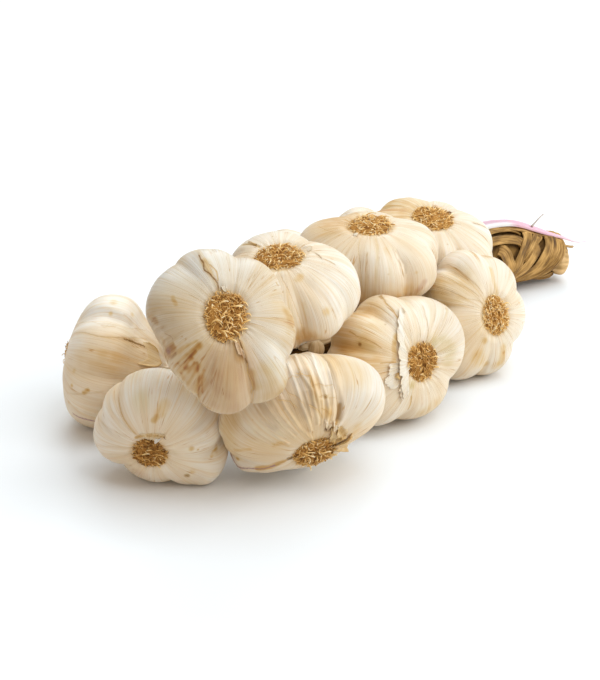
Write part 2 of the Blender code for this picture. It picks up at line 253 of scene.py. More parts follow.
def joined(name: str, parts: list[Piece]) -> Piece:
    """Several pieces as one.

    Args:
        name: Of the whole.
        parts: The pieces, which hold the same layers.

    Returns:
        The whole.
    """
    first = np.cumsum([0] + [len(part.points) for part in parts])
    faces = [[n + start for n in face] for part, start in zip(parts, first) for face in part.faces]
    layers = {key: np.concatenate([part.layers[key] for part in parts]) for key in parts[0].layers}
    return Piece(name, np.vstack([part.points for part in parts]), faces, layers)


def tube(
    line: Array, across: Array, outward: Array, section: Array, number: int = 0, name: str = "tube"
) -> Piece:
    """A closed tube: a section carried along a line.

    Each point is its line's point + section x times across + section y times outward.

    Args:
        line: Middle of each ring, (rings, 3).
        across: The section's x direction at each ring, (rings, 3), or at all of them.
        outward: The section's y direction, in the same way.
        section: (x, y) of each point of each ring, (rings, sides, 2).
        number: Tells its fibres from those of other tubes.
        name: The piece's name.

    Returns:
        The piece, with a "fibre" layer: (share of the way round, millimetres along, number).
    """
    across, outward = np.broadcast_to(across, line.shape), np.broadcast_to(outward, line.shape)
    rings = line[:, None] + section[..., :1] * across[:, None] + section[..., 1:] * outward[:, None]
    rows, sides = section.shape[:2]
    steps = np.linalg.norm(np.diff(line, axis=0), axis=1)
    along = np.concatenate(([0.0], np.cumsum(steps)))
    share = np.arange(sides) / sides
    fibre = packed(share[None], along[:, None], number)
    return Piece(name, closed_points(rings), closed_faces(rows, sides), {"fibre": closed_points(fibre)})


# ---------------------------------------------------------------- finishes


class Tint(Enum):
    """Colours of the skin and of what marks it, as linear red, green and blue."""

    CREAM = (0.80, 0.66, 0.49)
    PALE = (0.88, 0.80, 0.69)
    WHITE = (0.90, 0.86, 0.80)
    WARM = (0.74, 0.51, 0.25)
    TAN = (0.72, 0.48, 0.20)
    STAIN = (0.60, 0.36, 0.115)
    BROWN = (0.30, 0.155, 0.042)
    DARK = (0.10, 0.055, 0.028)
    ROSE = (0.66, 0.47, 0.38)
    GREY = (0.58, 0.50, 0.42)
    PURPLE = (0.36, 0.17, 0.22)
    OLIVE = (0.60, 0.48, 0.22)

    @property
    def rgb(self) -> Array:
        """The colour as an array."""
        return np.array(self.value)


class Wiring:
    """A material's nodes, added and joined one at a time."""

    def __init__(self, name: str) -> None:
        """Starts a material with a Principled shader.

        Args:
            name: The material's name.
        """
        self.material = bpy.data.materials.new(name)
        self.material.use_nodes = True
        self.tree = self.material.node_tree
        self.shader = self.tree.nodes["Principled BSDF"]

    def add(self, kind: str, inputs: dict | None = None, **settings: object) -> Node:
        """Adds a node.

        Args:
            kind: Its type, without the words ShaderNode.
            inputs: A value or another node's output for each input, by name or number.
            settings: The node's own properties.

        Returns:
            The node.
        """
        node = self.tree.nodes.new(f"ShaderNode{kind}")
        for key, value in settings.items():
            setattr(node, key, value)
        for key, value in (inputs or {}).items():
            self.feed(node.inputs[key], value)
        return node

    def feed(self, socket: Socket, value: object) -> None:
        """Joins an output to the socket, or sets its value.

        Args:
            socket: A node's input.
            value: Another node's output, or a plain value.
        """
        if isinstance(value, Socket):
            self.tree.links.new(value, socket)
        else:
            socket.default_value = value

    def layer(self, name: str, output: str = "Vector") -> Socket:
        """A value that the mesh holds for each point."""
        return self.add("Attribute", attribute_name=name).outputs[output]

    def noise(self, at: Socket, scales: tuple, detail: float = 2.0) -> Socket:
        """Noise at a place that is first stretched along its three axes.

        Args:
            at: The place.
            scales: By which it is stretched.
            detail: How many finer layers of noise are added.

        Returns:
            The noise.
        """
        place = self.add("VectorMath", {0: at, 1: scales}, operation="MULTIPLY").outputs[0]
        wanted = {"Vector": place, "Scale": 1.0, "Detail": detail, "Roughness": 0.55}
        return self.add("TexNoise", wanted).outputs["Fac"]

    def between(self, value: Socket, low: float, high: float) -> Socket:
        """0 where the value is below low and 1 above high."""
        wanted = {"Value": value, "From Min": low, "From Max": high}
        return self.add("MapRange", wanted, interpolation_type="SMOOTHSTEP").outputs["Result"]

    def sum(self, operation: str, a: object, b: object) -> Socket:
        """One sum on two numbers."""
        return self.add("Math", {0: a, 1: b}, operation=operation).outputs[0]

    def plus(self, a: object, b: object) -> Socket:
        """a + b."""
        return self.sum("ADD", a, b)

    def minus(self, a: object, b: object) -> Socket:
        """a - b."""
        return self.sum("SUBTRACT", a, b)

    def times(self, a: object, b: object) -> Socket:
        """a times b."""
        return self.sum("MULTIPLY", a, b)

    def unsigned(self, a: object) -> Socket:
        """a without its sign."""
        return self.sum("ABSOLUTE", a, 0.0)

    def tinted(self, base: object, tint: object, share: object, blend: str = "MIX") -> Socket:
        """The base colour, blended with a tint.

        Args:
            base: A colour, or an output that holds one.
            tint: The same.
            share: How much of the tint there is.
            blend: How the two are blended.

        Returns:
            The blended colour.
        """
        node = self.add("Mix", data_type="RGBA", blend_type=blend)
        for key, value in ((0, share), (6, base), (7, tint)):
            self.feed(node.inputs[key], value)
        return node.outputs[2]

    def ramp(self, value: Socket, stops: tuple) -> Socket:
        """A colour read from stops.

        Args:
            value: Where it is read.
            stops: (where, (red, green, blue)) of each.

        Returns:
            The colour.
        """
        node = self.add("ValToRGB", {"Fac": value})
        while len(node.color_ramp.elements) < len(stops):
            node.color_ramp.elements.new(0.5)
        for element, (where, colour) in zip(node.color_ramp.elements, stops):
            element.position, element.color = where, (*colour, 1)
        return node.outputs["Color"]

    def paint(self, colour: object, roughness: float, gloss: float = 0.5) -> None:
        """Sets how the surface takes the light.

        Args:
            colour: A colour, or an output that holds one.
            roughness: 0 for a mirror, 1 for a dull surface.
            gloss: How strongly it reflects.
        """
        self.feed(self.shader.inputs["Base Color"], colour)
        self.shader.inputs["Roughness"].default_value = roughness
        self.shader.inputs["Specular IOR Level"].default_value = gloss

    def bump(self, height: Socket, depth: float, strength: float) -> None:
        """Lets the height, over depth millimetres, shape the light on the surface."""
        wanted = {"Height": height, "Distance": depth * MM, "Strength": strength}
        self.feed(self.shader.inputs["Normal"], self.add("Bump", wanted).outputs["Normal"])

    def glow(self, share: float, reach: float) -> None:
        """Lets some light through.

        Args:
            share: How much of the light goes in.
            reach: How far red light gets, in millimetres.
        """
        self.shader.inputs["Subsurface Weight"].default_value = share
        self.shader.inputs["Subsurface Radius"].default_value = (1.0, 0.62, 0.36)
        self.shader.inputs["Subsurface Scale"].default_value = reach * MM


@dataclass(frozen=True)
class PaperSkin:
    """Dry garlic skin: its own painted colour, crossed by fine veins that run from root to neck."""

    name: str = "bulb_skin"
    roughness: float = 0.44
    veins: float = 0.60
    hairlines: float = 0.90
    waver: float = 4.0  # of a crack, in its widths
    stain: float = 0.45  # beside a crack
    sheen: float = 0.04

    def material(self) -> Material:
        """Lays veins and hairlines over the skin's own colour, and then the cracks.

        Returns:
            The finish, which reads the layers "colour", "veins", "crack" and "crack_colour".
        """
        wiring = Wiring(self.name)
        place = wiring.layer("veins")
        broad = wiring.between(wiring.noise(place, (17, 17, 0.7)), 0.48, 0.74)
        fine = wiring.between(wiring.noise(place, (58, 58, 1.3), 3.0), 0.44, 0.70)
        drift = wiring.noise(place, (11, 11, 0.5), 1.0)
        hairline = wiring.between(wiring.unsigned(wiring.minus(drift, 0.5)), 0.012, 0.002)
        spread = wiring.between(wiring.noise(place, (3, 3, 3)), 0.42, 0.62)
        hairline = wiring.times(hairline, spread)
        colour = wiring.layer("colour", "Color")
        for lines, share, tint in (
            (broad, self.veins, (0.95, 0.83, 0.62, 1)),
            (fine, self.veins, (0.90, 0.79, 0.61, 1)),
            (hairline, self.hairlines, (0.76, 0.55, 0.32, 1)),
        ):
            colour = wiring.tinted(colour, tint, wiring.times(lines, share), "MULTIPLY")

        crack = wiring.add("SeparateXYZ", {0: wiring.layer("crack")}).outputs
        waver = wiring.minus(wiring.noise(place, (34, 34, 26), 3.0), 0.5)
        off_crack = wiring.unsigned(wiring.plus(crack["X"], wiring.times(waver, self.waver)))
        near = wiring.between(crack["Y"], 6.0, 3.0)
        open_crack = wiring.times(wiring.between(off_crack, 1.5, 0.6), near)
        stained = wiring.times(wiring.between(off_crack, 5.0, 1.0), near)
        share = wiring.times(stained, wiring.times(crack["Z"], self.stain))
        colour = wiring.tinted(colour, (0.82, 0.62, 0.38, 1), share, "MULTIPLY")
        share = wiring.times(open_crack, crack["Z"])
        colour = wiring.tinted(colour, wiring.layer("crack_colour", "Color"), share)
        wiring.paint(colour, self.roughness, 0.45)
        wiring.shader.inputs["Sheen Weight"].default_value = self.sheen
        wiring.shader.inputs["Sheen Roughness"].default_value = 0.45
        height = wiring.plus(wiring.times(fine, -0.6), wiring.times(hairline, -0.8))
        wiring.bump(wiring.minus(height, wiring.times(open_crack, 1.6)), 0.16, 0.55)
        wiring.glow(0.10, 2.2)
        return wiring.material


@dataclass(frozen=True)
class DryRoot:
    """Trimmed dry roots: each strand has its own shade, from dark brown to straw."""

    name: str = "dry_roots"
    roughness: float = 0.85
    speckling: float = 0.30

    def material(self) -> Material:
        """Speckles each strand's shade and reads its colour from stops.

        Returns:
            The finish, which reads the layer "shade".
        """
        wiring = Wiring(self.name)
        place = wiring.add("TexCoord").outputs["Object"]
        speckle = wiring.noise(place, (900, 900, 900), 3.0)
        shade = wiring.plus(wiring.layer("shade", "Fac"), wiring.times(speckle, self.speckling))
        shade = wiring.minus(shade, self.speckling / 2)
        stops = (
            (0.0, (0.12, 0.045, 0.010)),
            (0.3, (0.42, 0.19, 0.040)),
            (0.6, (0.74, 0.42, 0.125)),
            (0.85, (0.90, 0.61, 0.26)),
            (1.0, (0.95, 0.77, 0.47)),
        )
        wiring.paint(wiring.ramp(shade, stops), self.roughness, 0.2)
        wiring.bump(speckle, 0.15, 0.6)
        return wiring.material


@dataclass(frozen=True)
class DryLeaf:
    """Dried garlic leaf and stem: tan, with brown fibres along it."""

    name: str = "dry_leaf"
    roughness: float = 0.62
    dark: tuple = (0.08, 0.035, 0.009)
    middle: tuple = (0.27, 0.135, 0.028)
    light: tuple = (0.60, 0.335, 0.100)

    def material(self) -> Material:
        """Reads the colour from stops by fine fibres and broad patches of noise.

        Returns:
            The finish, which reads the layer "fibre": (share round, millimetres along, own number).
        """
        wiring = Wiring(self.name)
        place = wiring.layer("fibre")
        fibres = wiring.noise(place, (26, 0.10, 3.7), 3.0)
        patches = wiring.noise(place, (3, 0.09, 5.1), 2.0)
        shade = wiring.plus(wiring.times(fibres, 0.60), wiring.times(patches, 0.70))
        colour = wiring.ramp(shade, ((0.42, self.dark), (0.60, self.middle), (0.80, self.light)))
        wiring.paint(colour, self.roughness, 0.3)
        wiring.bump(fibres, 0.5, 0.7)
        return wiring.material


@dataclass(frozen=True)
class RosySheath:
    """The thin sheath: rose, white in its middle, rose again towards its point."""

    name: str = "rosy_sheath"
    roughness: float = 0.55

    def material(self) -> Material:
        """Lays fine fibres over the sheath's own colour.

        Returns:
            The finish, which reads the layers "colour" and "fibre".
        """
        wiring = Wiring(self.name)
        fibres = wiring.noise(wiring.layer("fibre"), (20, 0.05, 1), 2.0)
        share = wiring.times(fibres, 0.30)
        colour = wiring.tinted(wiring.layer("colour", "Color"), (0.86, 0.62, 0.62, 1), share, "MULTIPLY")
        wiring.paint(colour, self.roughness)
        wiring.bump(fibres, 0.2, 0.5)
        wiring.glow(0.2, 1.5)
        return wiring.material


@dataclass(frozen=True)
class PlainFloor:
    """A plain pale floor."""

    name: str = "plain_floor"
    colour: tuple = (0.875, 0.877, 0.880, 1)
    roughness: float = 0.9

    def material(self) -> Material:
        """Paints the floor one dull colour.

        Returns:
            The finish.
        """
        wiring = Wiring(self.name)
        wiring.paint(self.colour, self.roughness, 0.1)
        return wiring.material


# ---------------------------------------------------------------- the plait's line


@dataclass(frozen=True)
class Plait:
    """The line that the three strands are plaited round, and how thick the plait is along it."""

    route: tuple = (
        (-112, 4, 42), (-75, 4, 32), (-30, 3, 22), (10, 2, 14), (45, 1, 9.8),
        (78, 2, 13.4), (104, 1, 18.7), (126, -6, 19.8), (141, -14, 17.2), (152, -21, 15),
    )
    steps: int = 160
    strand_radius: float = 5.0
    swing: float = 1.95  # sideways, in strand radii
    lift: float = 1.60  # up and down
    wave: float = 118.0
    front_fullness: float = 0.47
    tip_fullness: float = 0.66
    fullest_share: float = 0.84

    @property
    def line(self) -> Array:
        """Points along the middle line."""
        return catmull_rom(self.route, self.steps)

    @property
    def along(self) -> Array:
        """Distance along the line of each of its points."""
        return np.concatenate(([0.0], np.cumsum(np.linalg.norm(np.diff(self.line, axis=0), axis=1))))

    @property
    def length(self) -> float:
        """Length of the line."""
        return float(self.along[-1])

    def place(self, distance: Array) -> tuple[Array, Array, Array, Array]:
        """Where the line is and which way it runs, which is blended from one span to the next.

        Args:
            distance: Distances along the line, which goes straight on past its ends.

        Returns:
            (points, forward, sideways, up) for each distance.
        """
        line, along = self.line, self.along
        distance = np.asarray(distance, float)
        k = np.clip(np.searchsorted(along, distance, side="right") - 1, 0, self.steps - 1)
        steps = np.diff(line, axis=0)
        share = ((distance - along[k]) / (along[k + 1] - along[k]))[..., None]
        before, after = steps[np.maximum(k - 1, 0)], steps[np.minimum(k + 1, self.steps - 1)]
        smooth = before + (steps[k] - before) * (0.5 + share / 2)
        smooth = smooth + steps[k] + (after - steps[k]) * share / 2
        ends = ((k == 0) | (k == self.steps - 1))[..., None]
        forward = unit(np.where(ends, steps[k], smooth))
        sideways = unit(np.cross((0, 0, 1), forward))
        return line[k] + steps[k] * share, forward, sideways, np.cross(forward, sideways)

    def fullness(self, distance: Array) -> Array:
        """How thick the plait is: it rises as 1 less a cosine and falls as a squared sine.

        Args:
            distance: Along its line.

        Returns:
            Shares of its fullest.
        """
        share = np.clip(np.asarray(distance) / self.length, 0.0, 1.0)
        rise = 1 - np.cos(np.minimum(share / self.fullest_share, 1) * math.pi / 2)
        fall = np.maximum(share - self.fullest_share, 0) / (1 - self.fullest_share)
        falling = 1 - (1 - self.tip_fullness) * np.sin(fall * math.pi / 2) ** 2
        rising = self.front_fullness + (1 - self.front_fullness) * rise
        return np.where(share < self.fullest_share, rising, falling)

    def distance_at_x(self, x: float) -> float:
        """How far along the line it passes x."""
        return float(self.along[np.argmin(np.abs(self.line[:, 0] - x))])

    def outside(self, distance: Array, angle: Array, clear: Array) -> Array:
        """Points outside the plait.

        Args:
            distance: Along the line.
            angle: Radians round it, from its far side over its top.
            clear: How far outside the plait.

        Returns:
            The points.
        """
        point, _, sideways, up = self.place(distance)
        radius = self.strand_radius * self.fullness(distance)
        width, height = (self.swing + 1) * radius + clear, (self.lift + 1) * radius + clear
        point = point + sideways * (width * np.cos(angle))[..., None]
        return point + up * (height * np.sin(angle))[..., None]

    def facing(self, distance: float, target: Array) -> float:
        """The angle round the plait at which it faces a target.

        Args:
            distance: Along the line.
            target: A point.

        Returns:
            Radians from its far side over its top.
        """
        point, _, sideways, up = self.place(distance)
        aim = target - point
        return math.atan2(aim @ up, aim @ sideways)


# ---------------------------------------------------------------- bulbs


@dataclass
class FlatSkin:
    """Places on a bulb's skin, which is rolled out flat to measure marks and cracks on it.

    A place's x is its angle from the start of a leg times its distance from the bulb's axis, and
    its y is its length along the skin from there.

    Attributes:
        bulb: The bulb.
        phi: Angles round it.
        station: Stations along it.
    """

    bulb: "Bulb"
    phi: Array
    station: Array

    @cached_property
    def out(self) -> Array:
        """Distance of each place from the bulb's axis."""
        return self.bulb.outline(self.station)[0]

    @cached_property
    def along(self) -> Array:
        """Length along the skin from the roots to each place."""
        return self.bulb.along(self.station)

    @cached_property
    def radii(self) -> Array:
        """The same in the bulb's radii."""
        return self.along / self.bulb.radius

    def from_leg(self, start: tuple, end: tuple) -> tuple[Array, Array]:
        """How far each place lies from a leg of a route.

        Args:
            start: (degrees, station) where the leg starts.
            end: The same where it ends.

        Returns:
            (millimetres from the leg, a number that is less than 0 on its right).
        """
        turn = math.radians(start[0])
        x, y = turned(self.phi, turn) * self.out, self.along - self.bulb.along(start[1])
        leg_x = float(turned(np.array(math.radians(end[0])), turn)) * self.out
        leg_y = self.bulb.along(end[1]) - self.bulb.along(start[1])
        share = np.clip((x * leg_x + y * leg_y) / np.maximum(leg_x**2 + leg_y**2, 1e-9), 0, 1)
        return np.hypot(x - share * leg_x, y - share * leg_y), leg_x * y - leg_y * x


@dataclass(frozen=True)
class Mark:
    """A stain, line or crease on the skin, along a route of one or more places.

    Attributes:
        route: (degrees round the bulb, station) of each place.
        width: Half its width, in millimetres.
        tint: Its colour.
        strength: How much of the colour it has.
        depth: How far it is pressed in, in millimetres.
        ragged: How uneven its edge is.
    """

    route: tuple
    width: float
    tint: Tint
    strength: float = 0.6
    depth: float = 0.0
    ragged: float = 0.6

    FADE = 2.2  # widths from its middle to where it ends

    def cover(self, skin: FlatSkin, edge: Array) -> Array:
        """How fully the mark covers each place.

        Args:
            skin: Where the places are.
            edge: Noise that makes the mark's edge uneven.

        Returns:
            0 outside it to 1 in its middle.
        """
        legs = list(zip(self.route, self.route[1:])) or [(self.route[0], self.route[0])]
        nearest = np.minimum.reduce([skin.from_leg(*leg)[0] for leg in legs])
        middle = np.clip(1 - nearest / (self.FADE * self.width), 0, 1)
        return ramp(middle, 0.0, 0.85) * (1 - self.ragged * (1 - 1.3 * edge))


@dataclass(frozen=True)
class Crack:
    """A thin line on the skin: a crack, the edge of a layer, or a coloured vein.

    Attributes:
        route: (degrees round the bulb, station) of each place that it passes.
        width: Half its width, in millimetres.
        tint: Its colour.
        strength: How much of the colour it has.
        step: Millimetres by which the skin on its left stands above that on its right.
    """

    route: tuple
    width: float
    tint: Tint
    strength: float = 0.8
    step: float = 0.0

    def distance(self, skin: FlatSkin) -> Array:
        """How far each place lies from the crack.

        Args:
            skin: Where the places are.

        Returns:
            Millimetres, less than 0 on its right.
        """
        nearest = np.full(skin.phi.shape, np.inf)
        for leg in zip(self.route, self.route[1:]):
            off, side = skin.from_leg(*leg)
            off = np.where(side < 0, -off, off)
            nearest = np.where(np.abs(off) < np.abs(nearest), off, nearest)
        return nearest


@dataclass(frozen=True)
class Flap:
    """A torn piece of the outer skin, standing off the bulb at its free edge.

    Attributes:
        edge: (degrees round the bulb, station) of each place that its free edge passes.
        reach: Stations from the free edge to where it is still held; less than 0 is rootwards.
        lift: Millimetres off the skin where it is held and at its free edge.
        tint: Its colour.
        share: How much of the tint it has.
        torn: Stations by which its free edge is torn in and out.
        curl: How much the lift varies along the edge, from 0 to 1.
        browned: How brown its free edge is.
    """

    edge: tuple
    reach: float
    lift: tuple = (0.1, 0.8)
    tint: Tint = Tint.PALE
    share: float = 0.4
    torn: float = 0.03
    curl: float = 0.6
    browned: float = 0.3


@dataclass(frozen=True)
class Look:
    """What is particular to one bulb's skin.

    Attributes:
        seed: Of its random details.
        warmth: 0 for a pale skin, 1 for a tan one.
        shade: How light its skin is, 1 for the lightest.
        marks: Its stains, lines and creases.
        flaps: Its torn skins.
        wrinkled: (degrees from, degrees to, height in mm) of a loose, wrinkled stretch.
        specks: How many small brown specks it has.
        tuft: (right, up, share of its width, share of its height) of its roots on their plate.
        sleeve: Millimetres by which loose skin thickens its neck.
        long_strands: How many of its roots are long.
        straw: How light its roots are, 1 for the lightest.
        matted: Degrees round the bulb of the side on which its roots are a pale mat.
        columns: How many points its skin has the way round.
    """

    seed: int
    warmth: float = 0.3
    shade: float = 0.93
    marks: tuple = ()
    flaps: tuple = ()
    wrinkled: tuple | None = None
    specks: int = 5
    tuft: tuple = (0.0, 0.0, 1.0, 1.0)
    sleeve: float = 0.0
    long_strands: int = 12
    straw: float = 0.66
    matted: float | None = None
    columns: int = 336


@dataclass(frozen=True)
class Bulb:
    """One bulb: where it lies, which way its roots face, and how its cloves make its shape."""

    name: str
    middle: tuple
    azimuth: float  # degrees, of the way its roots face
    elevation: float
    diameter: float
    plate: float  # radius of its root plate
    valley: float  # degrees, of the valley where the first clove starts
    cloves: tuple  # (degrees of the way round, bulge) of each clove in turn
    oval: tuple  # (share by which it is wider, angle of its wider way)
    joins_at: float  # x where its neck meets the plait
    look: Look

    ROOT_SIDE_HEIGHT = 0.66
    SHOULDER_HEIGHT = 0.92
    SHOULDER_FULLNESS = 1.15
    ROOT_SQUARENESS = 0.80
    PLATE_DEPTH = 0.09
    DIMPLE_WIDTH = 0.17
    CLOVE_RELIEF = 0.13
    CLOVE_ROUNDNESS = 0.80
    MEAN_BULGE = 0.55
    NECK_RADIUS = 5.6
    NECK_TIP_RADIUS = 3.2
    NECK_LEAVES_AT = 0.72
    GAP = 0.35
    HOLLOW = 1.0  # depth of the hollow that the roots sit in
    HOLLOW_WIDTH = 5.0
    STATIONS = 600

    @property
    def radius(self) -> float:
        """Half the diameter."""
        return self.diameter / 2

    @property
    def turn(self) -> Array:
        """The bulb's own axes, from the way that its roots face.

        Returns:
            A matrix with the axes as its columns. Its +Z is the way the neck leaves.
        """
        azimuth, elevation = math.radians(self.azimuth), math.radians(self.elevation)
        level = math.cos(elevation)
        axis = -np.array((level * math.cos(azimuth), level * math.sin(azimuth), math.sin(elevation)))
        upwards = unit(np.array((0.0, 0.0, 1.0)) - axis * axis[2])
        return np.stack((np.cross(upwards, axis), upwards, axis), 1)

    def outline(self, station: Array, dimpled: bool = True) -> tuple[Array, Array]:
        """The bulb's outline before its cloves shape it.

        The root half is a squared-off quarter ellipse with a dimple for the root plate. The
        shoulder narrows as a squared cosine, and the neck is a slow taper.

        Args:
            station: Places along the bulb.
            dimpled: Whether it has the dimple.

        Returns:
            (distance from the axis, height) of each.
        """
        turn = np.minimum(station, 1) * math.pi / 2
        out = self.radius * np.sin(turn) ** self.ROOT_SQUARENESS
        height = -self.radius * self.ROOT_SIDE_HEIGHT * np.abs(np.cos(turn)) ** self.ROOT_SQUARENESS
        dimple = 1 - ramp(out, self.plate, self.plate + self.radius * self.DIMPLE_WIDTH)
        share = np.clip(station - 1, 0, 1)
        slope = np.cos(math.pi / 2 * share**self.SHOULDER_FULLNESS) ** 2
        upper = self.NECK_RADIUS + (self.radius - self.NECK_RADIUS) * slope
        upper = upper + (self.NECK_TIP_RADIUS - self.NECK_RADIUS) * np.maximum(station - 2, 0)
        lower_height = height + self.radius * self.PLATE_DEPTH * dimple * dimpled
        upper_height = self.radius * self.SHOULDER_HEIGHT * share
        root_half = station <= 1
        return np.where(root_half, out, upper), np.where(root_half, lower_height, upper_height)

    def along(self, station: Array) -> Array:
        """Length along the skin, the sum of the outline's small steps.

        Args:
            station: Places along the bulb.

        Returns:
            Millimetres from the root pole to each.
        """
        stations = np.linspace(0, 3, self.STATIONS)
        out, height = self.outline(stations)
        height = height + np.maximum(stations - 2, 0) * self.radius
        lengths = np.concatenate(([0.0], np.cumsum(np.hypot(np.diff(out), np.diff(height)))))
        return np.interp(station, stations, lengths)

    def bulge(self, phi: Array) -> Array:
        """How far the cloves stand out: each is its own bulge times a sine's arch, softened.

        Args:
            phi: Angles round the bulb.

        Returns:
            0 in a valley, and up to a clove's bulge on its back.
        """
        widths = np.radians([width for width, _ in self.cloves])
        starts = np.concatenate(([0.0], np.cumsum(widths)))
        round_from_valley = circle(720)
        clove = np.minimum(np.searchsorted(starts, round_from_valley, side="right") - 1, len(widths) - 1)
        share = np.clip((round_from_valley - starts[clove]) / widths[clove], 0, 1)
        heights = np.array([bulge for _, bulge in self.cloves])[clove]
        arch = heights * np.sin(math.pi * share) ** self.CLOVE_ROUNDNESS
        blur = np.exp(-0.5 * (np.arange(-12, 13) / 4.0) ** 2)
        arch = np.convolve(np.concatenate((arch[-12:], arch, arch[:12])), blur / blur.sum(), "valid")
        at = (phi - math.radians(self.valley)) % TURN
        return np.interp(at, round_from_valley, arch, period=TURN)

    def strength(self, station: Array) -> Array:
        """How strongly the cloves shape the bulb at a station."""
        upper = (1 - 0.93 * np.clip(station - 1, 0, 1)) ** 1.2
        return np.where(station <= 1, ramp(station, 0.2, 0.7), upper)

    def body(self, phi: Array, station: Array, plait: Plait) -> Array:
        """Points of the smooth bulb without its dimple, cloves and bent neck included.

        Args:
            phi: Angles round the bulb.
            station: Stations along it.
            plait: What its neck runs to.

        Returns:
            The points, in laid-out millimetres.
        """
        out, height = self.outline(station, dimpled=False)
        strength, bulge = self.strength(station), self.bulge(phi)
        swell = 1 + self.CLOVE_RELIEF * strength * (bulge - self.MEAN_BULGE)
        height = np.where(station < 1, height * swell, height)
        oval, wide = self.oval[0], math.radians(self.oval[1])
        across = out * swell * (1 + strength * oval * np.cos(2 * (phi - wide)))
        x, y = across * np.cos(phi), across * np.sin(phi)

        middle = np.array(self.middle)
        shoulder = self.radius * self.SHOULDER_HEIGHT
        distance = plait.distance_at_x(self.joins_at)
        angle = np.array(plait.facing(distance, middle))
        meets = plait.outside(np.array(distance), angle, self.NECK_TIP_RADIUS + self.GAP)
        start = np.array((0.0, 0.0, self.NECK_LEAVES_AT * shoulder))
        end = (meets - middle) @ self.turn
        elbow = np.array((0.0, 0.0, max(shoulder, (start[2] + end[2]) / 2)))
        bend = np.clip((station - 1 - self.NECK_LEAVES_AT) / (2 - self.NECK_LEAVES_AT), 0, 1)[..., None]
        line = start * (1 - bend) ** 2 + elbow * 2 * bend * (1 - bend) + end * bend**2
        tx, ty, tz = np.moveaxis(unit((elbow - start) * (1 - bend) + (end - elbow) * bend), -1, 0)
        lean = (tx * y - ty * x) / (1 + tz)
        turned_ring = np.stack((x * tz - ty * lean, y * tz + tx * lean, -ty * y - tx * x), -1)
        straight = np.stack((x, y, height), -1)
        local = np.where(bend > 0, line + turned_ring, straight)
        return middle + local @ self.turn.T

    def skin(self, phi: Array, station: Array, plait: Plait, proud: Array) -> Array:
        """Points that stand proud of the smooth bulb along its normal, and never below the table.

        Args:
            phi: Angles round the bulb.
            station: Stations along it.
            plait: What its neck runs to.
            proud: How far each point stands out.

        Returns:
            The points, in laid-out millimetres.
        """
        step = 0.004
        points = self.body(phi, station, plait)
        round_it = self.body(phi + step, station, plait) - points
        along_it = self.body(phi, np.minimum(station, 3 - step) + step, plait)
        along_it = along_it - self.body(phi, np.minimum(station, 3 - step), plait)
        points = points + unit(np.cross(round_it, along_it)) * proud[..., None]
        points[..., 2] = np.maximum(points[..., 2], 0.0)
        return points

    def from_roots(self, phi: Array, out: Array) -> Array:
        """How far places on the root side of the bulb lie from the edge of the roots.

        Args:
            phi: Angles round the bulb.
            out: Distance of each place from its axis.

        Returns:
            Millimetres, less than 0 among the roots.
        """
        right, up, wide, high = self.look.tuft
        x, y = (out * np.cos(phi) - right) / wide, (out * np.sin(phi) - up) / high
        return np.hypot(x, y) - self.plate

    def vein_layer(self, phi: Array, station: Array) -> Array:
        """(cos, sin, radii along) of each place, which the skin's finish reads its veins from."""
        along = np.broadcast_to(self.along(station) / self.radius, phi.shape)
        return np.stack((np.cos(phi), np.sin(phi), along + self.look.seed), -1)


